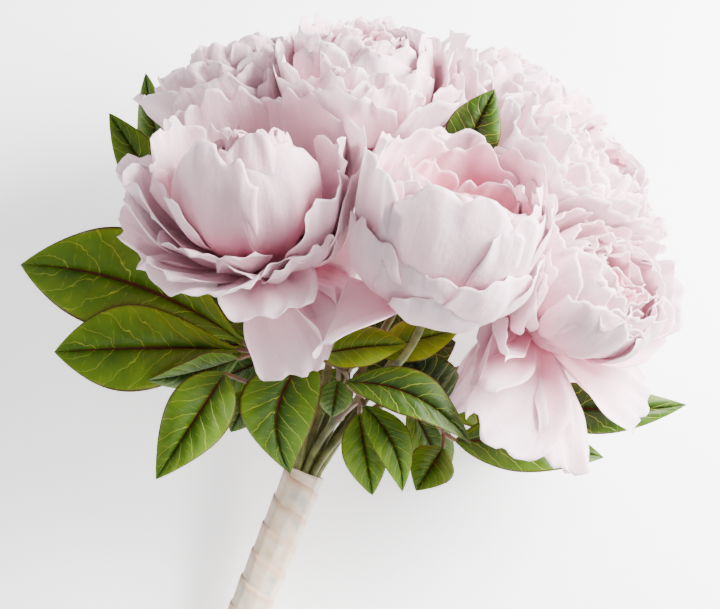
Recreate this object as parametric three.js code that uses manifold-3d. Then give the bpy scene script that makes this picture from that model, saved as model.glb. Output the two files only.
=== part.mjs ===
// Bunch of peonies: ten full blooms on green stems, with divided leaves between them,
// gathered into a handle that is wound with ribbon. The bunch lies on a surface.
import * as THREE from 'three';
import { mergeVertices } from 'three/addons/utils/BufferGeometryUtils.js';
import Module from 'manifold-3d';

const wasm = await Module();
wasm.setup();

// The bunch is drawn along its own axis: x to the right, y down towards the surface it lies on,
// z up the stems to the blooms, from the binding point at the top of the ribbon.
// All sizes are millimetres and all angles are degrees.
const AXIS_LEAN = 21;
const BINDING_AT = new THREE.Vector3(1, -58, 53.8);

// The way loose petals droop when the bunch is held up by its handle, a little off its axis
const HOLD_LEAN = 22;
const DROOP = new THREE.Vector3(Math.sin(radians(HOLD_LEAN)), 0, -Math.cos(radians(HOLD_LEAN)));

const GAP = 0.3;
const PETAL_THICKNESS = 0.8;
const LEAF_THICKNESS = 0.8;
const CELL_MARGIN = 0.6;
const CELL_SQUEEZE = 12;
const SURFACE_SQUEEZE = 5;

const STEM_RADIUS = 2;
const STEM_SIDES = 6;
const STEM_STEPS = 7;
const FIRST_JOINT = 2;
const STEM_PITCH = 4.35;
const ROW_PITCH = STEM_PITCH * Math.sqrt(3) / 2;
const STEM_FOOT = -137;
const STRAIGHT_TOP = 3;
const SPREAD = 0.12;
const JOINT_RADIUS = 2.8;
const JOINT_PROFILE = [[-1.5, STEM_RADIUS], [-0.7, JOINT_RADIUS], [0.7, JOINT_RADIUS], [1.5, STEM_RADIUS]];
const CALYX_RADIUS = 10;
const CALYX_DEPTH = 9;
const SEPALS = 5;
const KNUCKLE_RADIUS = 2.2;
const STALK_RADIUS = 1.2;
const STALK_TIP = 0.9;
const LEAF_ROOT = 2;
const LEAF_FOLD = 0.22;
const LEAF_WAVE = 0.06;
const LEAF_BELLY = 0.8;
const STALK_SIDES = 4;
const LEAF_STATIONS = [0, 0.16, 0.4, 0.64, 0.86, 1];
const SMALL_LEAF_WIDTH = 27;
const SMALL_LEAF_STATIONS = [0, 0.25, 0.65, 1];

const TRIM_BLOCK = 80;
const TRIM_AT = -190;

const RIBBON_TOP = 0;
const RIBBON_FOOT = -125;
const RIBBON_PITCH = 15;
const RIBBON_WALL = 1;
const RIBBON_STEP = 0.6;
const RIBBON_EDGE = 0.5;

// How far a bloom's seat lies behind its middle, as a share of its radius
const SEAT_SHARE = 0.64;
const CORE_SHARE = 0.5;
const CORE_LUMPS = 0.06;

// A ring of petals: where they leave the core, their length and width as shares of the bloom's
// radius, and the angles from the bloom's axis at which they leave, run at their middle and end
const GUARD = { count: 5, root: 0.3, rise: 0.13, length: 1.3, width: 1.4, angles: [98, 24, 30], cup: 1, tuck: 3, ruffle: 1.8, across: 3, along: 3 };
const TIGHT = { count: 5, root: 0.3, rise: 0.13, length: 1.4, width: 1.2, angles: [92, 2, -8], cup: 0.94, tuck: 3, ruffle: 1.4, across: 3, along: 3 };
const BOWL = { count: 4, root: 0.4, rise: 0.3, length: 1.04, width: 1.06, angles: [70, 4, -34], cup: 0.88, tuck: 2.2, ruffle: 1.2, across: 3, along: 3 };
const CLOSED = { count: 4, root: 0.4, rise: 0.3, length: 1.16, width: 1.08, angles: [66, 2, -26], cup: 0.88, tuck: 2.2, ruffle: 1, across: 3, along: 3 };
const GLOBE = { count: 5, root: 0.4, rise: 0.3, length: 1.25, width: 1.05, angles: [60, 4, -50], cup: 0.9, tuck: 2.4, ruffle: 1.2, across: 3, along: 3 };
const HEART = { count: 3, root: 0.4, rise: 0.6, length: 0.58, width: 0.78, angles: [20, -16, -52], cup: 0.8, tuck: 1.6, ruffle: 0.8, across: 2, along: 2 };
const CLAW_COLUMNS = 1;
const LOOSE = { root: 0.26, rise: 0.1, tuck: 1.5, across: 3, along: 3 };

const OPEN_HABIT = [GUARD, BOWL, HEART];
const CUP_HABIT = [TIGHT, CLOSED];
const GLOBE_HABIT = [GUARD, GLOBE];
const PLAIN_HABIT = [GUARD, BOWL];

// Each bloom: its middle, the way it faces, its radius, its rings and its stem's place in the
// handle as steps across and rows down. The loose petals are those that hang out of the rings,
// and bare is the stretch of azimuth, from the way petals droop, that has no guard petal.
const BLOOMS = [
  {
    name: 'front_left', at: [-74, -62, 119], faces: [-0.41, -0.52, 0.74], radius: 58, habit: GLOBE_HABIT,
    turn: 150, slot: [-1, -1], bare: [-62, 62],
    loose: [
      { azimuth: -84, length: 1.14, width: 1.05, angles: [100, 52, 44], cup: 1.2, ruffle: 2 },
      { azimuth: -22, length: 0.95, width: 1.15, angles: [84, 72, 84], cup: 1, ruffle: 2 },
      { azimuth: 50, length: 0.98, width: 0.9, angles: [92, 54, 14], cup: 1, ruffle: 2 },
      { azimuth: 36, length: 1, width: 1.05, angles: [130, 134, 146], cup: 1.6, ruffle: 2, root: 0.18, rise: 0.05 },
      { azimuth: 66, length: 0.92, width: 0.66, angles: [126, 122, 140], cup: 1.4, ruffle: 2, root: 0.18, rise: 0.05 },
    ],
  },
  {
    name: 'front_middle', at: [22, -80, 137], faces: [-0.09, -0.3, 0.95], radius: 56, habit: CUP_HABIT,
    turn: 30, slot: [0, -1],
    loose: [
      { azimuth: -128, length: 1.5, width: 0.95, angles: [92, 6, 2], cup: 1, ruffle: 2 },
      { azimuth: -70, length: 1, width: 1.15, angles: [118, 44, -10], cup: 1, ruffle: 2 },
      { azimuth: 4, length: 1.1, width: 1.15, angles: [118, 44, -14], cup: 1, ruffle: 2 },
      { azimuth: -114, length: 0.86, width: 0.84, angles: [112, 124, 134], cup: 1.4, ruffle: 2 },
    ],
  },
  {
    name: 'front_right', at: [97, -44, 135], faces: [0.42, -0.62, 0.66], radius: 55, habit: OPEN_HABIT,
    turn: 150, slot: [1, -1], bare: [-84, 84],
    loose: [
      { azimuth: -96, length: 1.16, width: 1.1, angles: [96, 74, 50], cup: 1, ruffle: 2.5 },
      { azimuth: -46, length: 1.25, width: 1.25, angles: [98, 104, 110], cup: 1.2, ruffle: 2.5 },
      { azimuth: -5, length: 1.27, width: 0.6, angles: [94, 96, 100], cup: 1.5, ruffle: 2.5 },
      { azimuth: 56, length: 1.26, width: 1.1, angles: [92, 88, 84], cup: 1.1, ruffle: 2.5 },
      { azimuth: 88, length: 1.2, width: 1.1, angles: [98, 52, 40], cup: 0.95, ruffle: 2.5 },
    ],
  },
  { name: 'top_left', at: [-101, 12, 170], faces: [-0.55, -0.08, 0.83], radius: 47, habit: PLAIN_HABIT, turn: 0, slot: [-1.5, 0] },
  { name: 'top_middle', at: [-46, -6, 195], faces: [-0.22, -0.35, 0.91], radius: 52, habit: OPEN_HABIT, turn: 25, slot: [-0.5, 0] },
  { name: 'top_back', at: [25, 28, 214], faces: [0.08, -0.1, 0.99], radius: 50, habit: PLAIN_HABIT, turn: 40, slot: [0.5, 0] },
  { name: 'top_right', at: [72, -14, 188], faces: [0.45, -0.35, 0.82], radius: 51, habit: OPEN_HABIT, turn: 12, slot: [1.5, 0] },
  { name: 'back_left', at: [-78, 62, 138], faces: [-0.55, 0.62, 0.56], radius: 52, habit: PLAIN_HABIT, turn: 15, slot: [-1, 1] },
  { name: 'back_middle', at: [0, 70, 160], faces: [0.02, 0.72, 0.69], radius: 51, habit: CUP_HABIT, turn: 0, slot: [0, 1] },
  { name: 'back_right', at: [80, 60, 140], faces: [0.58, 0.6, 0.55], radius: 52, habit: PLAIN_HABIT, turn: 33, slot: [1, 1] },
];

// Each frond: the stem and joint it grows at, where its stalk forks, and its leaflets from
// base to tip. A leaflet faces the viewer of the bunch unless it says otherwise, and a belly
// above 0.8 puts its widest place nearer the tip.
const FRONDS = [
  {
    name: 'left_front', stem: 'front_left', joint: 3, fork: [-45, -27, 50],
    leaves: [
      { base: [-54, -26, 51], tip: [-176, -12, 45], width: 54, bow: 9, arch: 8, belly: 1.25 },
      { base: [-55, -31, 47], tip: [-141, -33, 11], width: 45, bow: 1, arch: 5, belly: 1.25 },
      { base: [-53, -38, 43], tip: [-91, -48, 16], width: 24, face: [0.5, -0.7, -0.5], arch: 2 },
    ],
  },
  {
    name: 'left_hanging', stem: 'front_left', joint: 2, fork: [-40, -38, 34],
    leaves: [
      { base: [-56, -50, 34], tip: [-68, -52, -28], width: 33, arch: 4, belly: 0.68, face: [0, -1, 0] },
      { base: [-41, -28, 30], tip: [-43, -20, 6], width: 17 },
    ],
  },
  {
    name: 'left_behind', stem: 'top_left', joint: 3, fork: [-46, 8, 56],
    leaves: [
      { base: [-56, 8, 60], tip: [-148, 20, 78], width: 30, bow: -4 },
      { base: [-50, 14, 52], tip: [-96, 34, 22], width: 30, face: [-0.2, -0.9, 0.4] },
    ],
  },
  {
    name: 'front_hanging', stem: 'front_middle', joint: 3, fork: [-4, -46, 58],
    leaves: [
      { base: [-20, -44, 59], tip: [-7, -38, -1], width: 40, bow: 11, arch: 4, face: [-0.1, -1, 0] },
      { base: [-2, -40, 52], tip: [2, -32, 33], width: 18 },
      { base: [-15, -46, 61], tip: [23, -54, 82], width: 25, face: [0, -0.9, 0.5] },
      { base: [11, -37, 72], tip: [46, -35, 99], width: 24, face: [0, -0.9, 0.5] },
    ],
  },
  {
    name: 'middle_hanging', stem: 'front_middle', joint: 2, fork: [12, -42, 48],
    leaves: [
      { base: [2, -58, 53], tip: [71, -60, 48], width: 25, bow: -7, arch: 6, face: [0, -0.9, 0.45] },
      { base: [15, -44, 45], tip: [49, -44, 12], width: 20, bow: -5, arch: 5 },
      { base: [14, -38, 40], tip: [36, -34, 4], width: 24 },
    ],
  },
  {
    name: 'right_low', stem: 'front_right', joint: 3, fork: [58, -13, 46],
    leaves: [
      { base: [61, -16, 39], tip: [56, -25, 14], width: 24 },
      { base: [66, -10, 45], tip: [142, 8, 65], width: 30, bow: -2, face: [0.1, -1, 0.2] },
      { base: [52, -22, 54], tip: [24, -31, 80], width: 30, face: [0, -1, 0.3] },
    ],
  },
  {
    name: 'right_high', stem: 'front_right', joint: 5, fork: [68, 14, 72],
    leaves: [
      { base: [86, 16, 76], tip: [174, 25, 107], width: 27, bow: 5, face: [0.1, -1, 0.2] },
      { base: [72, 22, 64], tip: [118, 42, 50], width: 28 },
    ],
  },
  {
    name: 'between_tops', stem: 'top_middle', joint: 6, fork: [-8, -29, 158],
    leaves: [{ base: [13, -38, 176], tip: [16, -48, 217], width: 28, face: [0, -1, 0.1] }],
  },
  {
    name: 'left_top', stem: 'top_left', joint: 6, fork: [-100, 18, 106],
    leaves: [
      { base: [-120, 34, 102], tip: [-168, 32, 136], width: 24, face: [-0.3, -1, 0.2] },
      { base: [-124, 38, 112], tip: [-160, 52, 164], width: 22, face: [-0.6, -0.8, 0.2] },
    ],
  },
  {
    name: 'back_left', stem: 'back_left', joint: 3, fork: [-34, 36, 56],
    leaves: [
      { base: [-42, 40, 56], tip: [-112, 66, 62], width: 34, face: [0, -0.9, 0.5], arch: 3 },
      { base: [-36, 42, 50], tip: [-70, 66, 14], width: 28, face: [0, -0.9, 0.5], arch: 3 },
    ],
  },
  {
    name: 'back_middle', stem: 'back_middle', joint: 3, fork: [2, 34, 58],
    leaves: [
      { base: [2, 40, 56], tip: [-14, 64, 14], width: 28, face: [0, -0.9, 0.5], arch: 3 },
      { base: [4, 42, 61], tip: [50, 66, 92], width: 38, face: [0, -0.9, 0.5], arch: 3 },
    ],
  },
  {
    name: 'back_right', stem: 'back_right', joint: 3, fork: [34, 36, 58],
    leaves: [
      { base: [42, 40, 60], tip: [116, 68, 70], width: 34, face: [0, -0.9, 0.5], arch: 3 },
      { base: [38, 42, 52], tip: [74, 66, 18], width: 28, face: [0, -0.9, 0.5], arch: 3 },
    ],
  },
];

const COLOURS = { petal: 0xf3e0e6, leaf: 0x3f6b22, stem: 0x6d8740, ribbon: 0xe6dccb };

// Small helpers on vectors and numbers

function vec(list) {
  return new THREE.Vector3(...list);
}

function radians(degrees) {
  return THREE.MathUtils.degToRad(degrees);
}

// A repeatable number between -1 and 1 for two whole numbers
function scatter(first, second) {
  const wave = Math.sin(first * 127.1 + second * 311.7) * 43758.5453;
  return 2 * (wave - Math.floor(wave)) - 1;
}

// A value that passes three given ones as share runs from 0 to 1
function blend(three, share) {
  const rest = 1 - share;
  return rest * rest * three[0] + 2 * rest * share * three[1] + share * share * three[2];
}

// Solids and meshes

function solidFrom(positions, triangles) {
  const mesh = new wasm.Mesh({
    numProp: 3,
    vertProperties: new Float32Array(positions),
    triVerts: new Uint32Array(triangles),
  });
  const solid = new wasm.Manifold(mesh);
  return solid;
}

function solidFromGeometry(geometry) {
  const bare = geometry.index ? geometry.toNonIndexed() : geometry.clone();
  bare.deleteAttribute('normal');
  bare.deleteAttribute('uv');
  const merged = mergeVertices(bare, 1e-3);
  return solidFrom(merged.attributes.position.array, merged.index.array);
}

function joined(solids) {
  return solids.reduce((whole, next) => whole.add(next));
}

// The largest closed body of a solid: loose scraps are dropped and sealed hollows filled
function mainBody(solid) {
  const bodies = solid.decompose();
  return bodies.reduce((best, next) => (next.volume() > best.volume() ? next : best));
}

function geometryFrom(solid) {
  const mesh = solid.getMesh();
  const geometry = new THREE.BufferGeometry();
  geometry.setAttribute('position', new THREE.BufferAttribute(mesh.vertProperties, 3));
  geometry.setIndex(new THREE.BufferAttribute(mesh.triVerts, 1));
  geometry.computeVertexNormals();
  return geometry;
}

function makeMesh(name, solid, colour, roughness) {
  const material = new THREE.MeshStandardMaterial({ color: colour, roughness, metalness: 0, side: THREE.DoubleSide });
  const mesh = new THREE.Mesh(geometryFrom(solid), material);
  mesh.name = name;
  return mesh;
}

// The point at a share of the way along a row
function pointOn(row, share) {
  const place = share * (row.length - 1);
  const low = Math.min(Math.floor(place), Math.max(row.length - 2, 0));
  return row[low].clone().lerp(row[Math.min(low + 1, row.length - 1)], place - low);
}

// Half the thickness of a sheet, as a vector square to it, at one point of its middle surface
function halfThickness(rows, j, i, thickness) {
  const row = rows[j];
  const share = row.length > 1 ? i / (row.length - 1) : 0.5;
  const along = pointOn(rows[Math.min(j + 1, rows.length - 1)], share);
  along.sub(pointOn(rows[Math.max(j - 1, 0)], share));
  const wide = row.length > 1 ? row : rows[j === 0 ? 1 : j - 1];
  const across = pointOn(wide, Math.min(share + 0.5, 1)).sub(pointOn(wide, Math.max(share - 0.5, 0)));
  return across.cross(along).normalize().multiplyScalar(thickness / 2);
}

// Triangles between two rows, of which the shorter one is fanned out to the longer one
function bandTriangles(below, above) {
  const triangles = [];
  let [i, j] = [0, 0];
  while (i < below.length - 1 || j < above.length - 1) {
    const stepBelow = (i + 1) / (below.length - 1);
    const stepAbove = (j + 1) / (above.length - 1);
    if (j === above.length - 1 || (i < below.length - 1 && stepBelow <= stepAbove)) {
      triangles.push([below[i], below[i + 1], above[j]]);
      i += 1;
    } else {
      triangles.push([below[i], above[j + 1], above[j]]);
      j += 1;
    }
  }
  return triangles;
}

// A closed sheet of even thickness over rows of points, with both faces split alike
function thickSheet(rows, thickness) {
  const positions = [];
  const names = [];
  let count = 0;
  rows.forEach((row, j) => {
    names.push(row.map((point, i) => {
      const half = halfThickness(rows, j, i, thickness);
      positions.push(...point.clone().add(half).toArray(), ...point.clone().sub(half).toArray());
      count += 2;
      return count - 2;
    }));
  });
  const triangles = [];
  for (let j = 0; j < rows.length - 1; j += 1) {
    for (const [a, b, c] of bandTriangles(names[j], names[j + 1])) {
      triangles.push(a, b, c, a + 1, c + 1, b + 1);
    }
  }
  const first = names[0];
  const last = names[names.length - 1];
  const rightSide = names.slice(1, -1).map((row) => row[row.length - 1]);
  const leftSide = names.slice(1, -1).map((row) => row[0]).reverse();
  const rim = [...first, ...rightSide, ...[...last].reverse(), ...leftSide];
  rim.forEach((here, k) => {
    const next = rim[(k + 1) % rim.length];
    triangles.push(here, here + 1, next + 1, here, next + 1, next);
  });
  return solidFrom(positions, triangles);
}

// The space each bloom keeps to: planes between neighbours, and the surface below

const SURFACE = {
  normal: new THREE.Vector3(0, Math.cos(radians(AXIS_LEAN)), -Math.sin(radians(AXIS_LEAN))),
  reach: BINDING_AT.z,
  squeeze: SURFACE_SQUEEZE,
};

function planeBetween(bloom, other) {
  const here = vec(bloom.at);
  const there = vec(other.at);
  const apart = there.clone().sub(here).length();
  const balance = there.lengthSq() - here.lengthSq() - other.radius ** 2 + bloom.radius ** 2;
  return { normal: there.sub(here).normalize(), reach: balance / (2 * apart), squeeze: CELL_SQUEEZE };
}

// Eases a point back behind each plane, so that nothing passes it and layers keep their order
function keepBehind(point, planes) {
  for (const plane of planes) {
    const past = point.dot(plane.normal) - plane.reach + CELL_MARGIN + plane.squeeze;
    if (past > 0) {
      const eased = plane.squeeze * (1 - Math.exp(-past / plane.squeeze));
      point.addScaledVector(plane.normal, eased - past);
    }
  }
  for (const plane of planes) {
    const past = point.dot(plane.normal) - plane.reach + CELL_MARGIN;
    if (past > 0) point.addScaledVector(plane.normal, -past);
  }
  return point;
}

// Petals

// Directions of a bloom: out along its axis, down as its petals droop, and to the right
function bloomFrame(bloom) {
  const out = vec(bloom.faces).normalize();
  const down = DROOP.clone();
  down.addScaledVector(out, -down.dot(out)).normalize();
  const right = out.clone().cross(down);
  const seat = vec(bloom.at).addScaledVector(out, -SEAT_SHARE * bloom.radius);
  return { out, down, right, seat };
}

// Rows of points on a petal's middle surface. Its middle line turns from one angle to the next
// as it leaves the seat, and its sides curl round that line.
function petalRows(bloom, petal, planes, seed) {
  const { across, along } = petal;
  const frame = bloomFrame(bloom);
  const size = bloom.radius;
  const azimuth = radians(petal.azimuth);
  const outward = frame.down.clone().multiplyScalar(Math.cos(azimuth));
  outward.addScaledVector(frame.right, Math.sin(azimuth));
  const sideways = frame.out.clone().cross(outward);
  const length = petal.length * size * (1 + 0.05 * scatter(seed, 1));
  const phase = Math.PI * scatter(seed, 2);
  const lobe = 0.04 * scatter(seed, 3);
  const steps = 24;
  const line = [{ radius: petal.root * size, height: petal.rise * size, angle: radians(petal.angles[0]) }];
  for (let k = 1; k <= steps; k += 1) {
    const angle = radians(blend(petal.angles, k / steps));
    const last = line[k - 1];
    const middle = (angle + last.angle) / 2;
    line.push({
      radius: last.radius + Math.sin(middle) * length / steps,
      height: last.height + Math.cos(middle) * length / steps,
      angle,
    });
  }
  const rows = [];
  for (let j = 0; j <= along; j += 1) {
    const v = j / along;
    const row = [];
    const columns = j === 0 ? CLAW_COLUMNS : across;
    for (let i = 0; i <= columns; i += 1) {
      const u = 2 * i / columns - 1;
      const tip = 1 - 0.2 * Math.abs(u) ** 2.4 + lobe * Math.cos(2 * Math.PI * u);
      const place = Math.min(v * tip * steps, steps);
      const low = Math.min(Math.floor(place), steps - 1);
      const share = place - low;
      const radius = THREE.MathUtils.lerp(line[low].radius, line[low + 1].radius, share);
      const height = THREE.MathUtils.lerp(line[low].height, line[low + 1].height, share);
      const angle = THREE.MathUtils.lerp(line[low].angle, line[low + 1].angle, share);
      const spread = 0.2 + 0.8 * Math.sin(Math.min(v / 0.72, 1) * Math.PI / 2) - 0.1 * Math.max(v - 0.72, 0);
      const bend = petal.cup * Math.hypot(Math.max(radius, 0), 0.42 * size);
      const turn = u * spread * petal.width * size / 2 / bend;
      const normal = outward.clone().multiplyScalar(Math.cos(angle)).addScaledVector(frame.out, -Math.sin(angle));
      const wave = petal.ruffle * v * v * Math.sin(1.6 * Math.PI * u + phase) - petal.tuck * u;
      const point = frame.seat.clone().addScaledVector(outward, radius).addScaledVector(frame.out, height);
      point.addScaledVector(normal, bend * (Math.cos(turn) - 1) + wave);
      point.addScaledVector(sideways, bend * Math.sin(turn));
      row.push(keepBehind(point, planes));
    }
    rows.push(row);
  }
  return rows;
}

function inStretch(azimuth, stretch) {
  const turned = THREE.MathUtils.euclideanModulo(azimuth - stretch[0], 360);
  return turned <= stretch[1] - stretch[0];
}

// All petals of a bloom: its rings, less the bare stretch of the outer one, and its loose petals
function petalsOf(bloom) {
  const petals = [];
  bloom.habit.forEach((ring, layer) => {
    for (let k = 0; k < ring.count; k += 1) {
      const azimuth = bloom.turn + 360 * (k + 0.5 * layer) / ring.count;
      if (layer > 0 || !bloom.bare || !inStretch(azimuth, bloom.bare)) petals.push({ ...ring, azimuth });
    }
  });
  for (const petal of bloom.loose ?? []) petals.push({ ...LOOSE, ...petal });
  return petals;
}

// The dense heart of a bloom: a lumpy ball that stands on the seat
function makeCore(bloom, order) {
  const frame = bloomFrame(bloom);
  const core = new THREE.IcosahedronGeometry(CORE_SHARE * bloom.radius, 1);
  const spots = core.attributes.position;
  const foot = new THREE.Vector3(-1, (1 + Math.sqrt(5)) / 2, 0).normalize();
  const turn = new THREE.Quaternion().setFromUnitVectors(foot, frame.out.clone().negate());
  const middle = frame.seat.clone().addScaledVector(frame.out, CORE_SHARE * bloom.radius);
  for (let k = 0; k < spots.count; k += 1) {
    const spot = new THREE.Vector3().fromBufferAttribute(spots, k);
    const key = Math.round(spot.x) * 7 + Math.round(spot.y) * 3 + Math.round(spot.z);
    const swell = 1 - CORE_LUMPS * Math.abs(scatter(key, order)) * (1 - spot.clone().normalize().dot(foot));
    spot.multiplyScalar(swell).applyQuaternion(turn).add(middle);
    spots.setXYZ(k, spot.x, spot.y, spot.z);
  }
  return solidFromGeometry(core);
}

function makeBloom(bloom, order) {
  const planes = BLOOMS.filter((other) => other !== bloom).map((other) => planeBetween(bloom, other));
  planes.push(SURFACE);
  const petals = petalsOf(bloom).map((petal, k) => {
    const rows = petalRows(bloom, petal, planes, order * 40 + k);
    return thickSheet(rows, PETAL_THICKNESS);
  });
  return mainBody(joined([makeCore(bloom, order), ...petals]));
}

// Stems

function slotPoint(slot, z) {
  return new THREE.Vector3(slot[0] * STEM_PITCH, slot[1] * ROW_PITCH, z);
}

// A way along a list of stations, each a point and a radius, that a tube follows exactly
class StationWay extends THREE.Curve {
  constructor(stations) {
    super();
    this.stations = stations;
  }

  getPoint(share) {
    const place = THREE.MathUtils.clamp(share, 0, 1) * (this.stations.length - 1);
    const low = Math.min(Math.floor(place), this.stations.length - 2);
    return this.stations[low].point.clone().lerp(this.stations[low + 1].point, place - low);
  }

  getPointAt(share) {
    return this.getPoint(share);
  }

  getTangentAt(share) {
    return this.getTangent(share);
  }
}

// The stem's curve from the handle to its bloom
function stemCurve(bloom) {
  const frame = bloomFrame(bloom);
  const top = frame.seat.clone().addScaledVector(frame.out, -GAP - CALYX_DEPTH * 0.5);
  const start = slotPoint(bloom.slot, STRAIGHT_TOP);
  const reach = start.distanceTo(top);
  const spread = new THREE.Vector3(SPREAD * bloom.slot[0], SPREAD * bloom.slot[1], 1);
  const upward = start.clone().addScaledVector(spread, 0.38 * reach);
  return new THREE.CubicBezierCurve3(start, upward, top.clone().addScaledVector(frame.out, -0.36 * reach), top);
}

// Stations of a stem: its cut end, the end of its straight part, steps along its curve, and a
// swelling at each joint that a leaf stalk grows from
function stemStations(bloom) {
  const curve = stemCurve(bloom);
  const joints = FRONDS.filter((frond) => frond.stem === bloom.name).map((frond) => frond.joint);
  const stations = [{ point: slotPoint(bloom.slot, STEM_FOOT), radius: STEM_RADIUS }];
  for (let k = 0; k <= STEM_STEPS; k += 1) {
    const point = curve.getPoint(k / STEM_STEPS);
    const along = curve.getTangent(k / STEM_STEPS);
    const swollen = k > 0 && k < STEM_STEPS && (k === FIRST_JOINT || joints.includes(k));
    for (const [offset, radius] of swollen ? JOINT_PROFILE : [[0, STEM_RADIUS]]) {
      stations.push({ point: point.clone().addScaledVector(along, offset), radius });
    }
  }
  return stations;
}

function polygonShape(sides, radius) {
  const shape = new THREE.Shape();
  for (let k = 0; k < sides; k += 1) {
    const angle = 2 * Math.PI * k / sides;
    const [x, y] = [radius * Math.cos(angle), radius * Math.sin(angle)];
    if (k === 0) shape.moveTo(x, y);
    else shape.lineTo(x, y);
  }
  shape.closePath();
  return shape;
}

// A tube through stations, its radius following theirs
function tube(stations, sides) {
  const way = new StationWay(stations);
  const shape = polygonShape(sides, 1);
  const geometry = new THREE.ExtrudeGeometry(shape, { steps: stations.length - 1, extrudePath: way });
  const spots = geometry.attributes.position;
  for (let k = 0; k < spots.count; k += 1) {
    const spot = new THREE.Vector3().fromBufferAttribute(spots, k);
    const nearest = stations.reduce((best, next) => (
      spot.distanceToSquared(next.point) < spot.distanceToSquared(best.point) ? next : best));
    spot.sub(nearest.point).multiplyScalar(nearest.radius).add(nearest.point);
    spots.setXYZ(k, spot.x, spot.y, spot.z);
  }
  return solidFromGeometry(geometry);
}

function turnTo(geometry, direction, point) {
  const turn = new THREE.Quaternion().setFromUnitVectors(new THREE.Vector3(0, 1, 0), direction);
  geometry.applyQuaternion(turn);
  geometry.translate(point.x, point.y, point.z);
  return geometry;
}

// A shallow green cup with five pointed sepals under the bloom
function makeCalyx(bloom) {
  const frame = bloomFrame(bloom);
  const profile = [[0, -CALYX_DEPTH], [3.2, -CALYX_DEPTH], [CALYX_RADIUS, 0], [0, 0]];
  const points = profile.map(([radius, height]) => new THREE.Vector2(radius, height));
  const cup = new THREE.LatheGeometry(points, 2 * SEPALS);
  const spots = cup.attributes.position;
  for (let k = 0; k < spots.count; k += 1) {
    const angle = Math.atan2(spots.getX(k), spots.getZ(k));
    const pull = 0.82 + 0.18 * Math.cos(SEPALS * angle);
    spots.setX(k, spots.getX(k) * pull);
    spots.setZ(k, spots.getZ(k) * pull);
  }
  const top = frame.seat.clone().addScaledVector(frame.out, -GAP);
  return solidFromGeometry(turnTo(cup, frame.out, top));
}

function makeStem(bloom) {
  return mainBody(tube(stemStations(bloom), STEM_SIDES).add(makeCalyx(bloom)));
}

// Leaves

// Rows of points on a leaf's middle surface: edge, midrib and edge. It bows within its own
// plane, arches out of it and folds along the midrib.
function leafRows(leaf, seed) {
  const base = vec(leaf.base);
  const axis = vec(leaf.tip).sub(base);
  const length = axis.length();
  axis.normalize();
  const face = vec(leaf.face ?? [0, -1, 0.1]);
  face.addScaledVector(axis, -face.dot(axis)).normalize();
  const side = axis.clone().cross(face);
  const shares = leaf.width > SMALL_LEAF_WIDTH ? LEAF_STATIONS : SMALL_LEAF_STATIONS;
  return shares.map((share) => {
    const hump = 4 * share * (1 - share);
    const middle = base.clone().addScaledVector(axis, share * length);
    middle.addScaledVector(side, (leaf.bow ?? 0) * hump);
    middle.addScaledVector(face, (leaf.arch ?? 0.05 * length) * hump);
    const half = leaf.width / 2 * Math.max(Math.sin(Math.PI * share ** (leaf.belly ?? LEAF_BELLY)) ** 0.9, 0.07);
    const places = share === 0 ? [-1, 1] : [-1, 0, 1];
    return (share === 1 ? [0] : places).map((u) => {
      const wave = LEAF_WAVE * leaf.width * Math.sin(5 * share + 2 * u + seed) * hump;
      const point = middle.clone().addScaledVector(side, u * half);
      point.addScaledVector(face, Math.abs(u) * (LEAF_FOLD * half + wave));
      return keepBehind(point, [SURFACE]);
    });
  });
}

// A frond: a knuckle beside the joint of its stem, clear of it by its flat facets, a stalk that
// bends to the fork and runs on into the first leaflet, and a short stalk to each of the others
function makeFrond(frond, order) {
  const curve = stemCurve(BLOOMS.find((bloom) => bloom.name === frond.stem));
  const seat = curve.getPoint(frond.joint / STEM_STEPS);
  const upward = curve.getTangent(frond.joint / STEM_STEPS);
  const fork = vec(frond.fork);
  const side = fork.clone().sub(seat);
  side.addScaledVector(upward, -side.dot(upward)).normalize();
  const start = seat.clone().addScaledVector(side, JOINT_RADIUS + KNUCKLE_RADIUS);
  const bend = start.clone().lerp(fork, 0.5).addScaledVector(upward, 0.12 * start.distanceTo(fork));
  const knuckle = new THREE.IcosahedronGeometry(KNUCKLE_RADIUS, 0);
  knuckle.translate(start.x, start.y, start.z);
  const parts = [solidFromGeometry(knuckle)];
  frond.leaves.forEach((leaf, k) => {
    const rows = leafRows(leaf, order * 5 + k);
    const base = pointOn(rows[0], 0.5);
    const end = base.clone().addScaledVector(rows[1][1].clone().sub(base).normalize(), LEAF_ROOT);
    const stations = [{ point: fork, radius: STALK_RADIUS }, { point: end, radius: STALK_TIP }];
    if (k === 0) stations.unshift({ point: start, radius: STALK_RADIUS }, { point: bend, radius: STALK_RADIUS });
    parts.push(tube(stations, STALK_SIDES), thickSheet(rows, LEAF_THICKNESS));
  });
  return mainBody(joined(parts));
}

// Ribbon

// Outline of the bundle of stems, let out by an allowance: a cut corner for each outer stem
function bundleOutline(allowance) {
  const corners = [[1.5, 0], [1, 1], [-1, 1], [-1.5, 0], [-1, -1], [1, -1]];
  const points = [];
  corners.forEach((corner, k) => {
    for (const share of [0, 1]) {
      const angle = radians(60 * (k + share) - 30);
      const middle = slotPoint(corner, 0);
      points.push([
        middle.x + (STEM_RADIUS + allowance) * Math.cos(angle),
        middle.y + (STEM_RADIUS + allowance) * Math.sin(angle),
      ]);
    }
  });
  return points;
}

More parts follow.
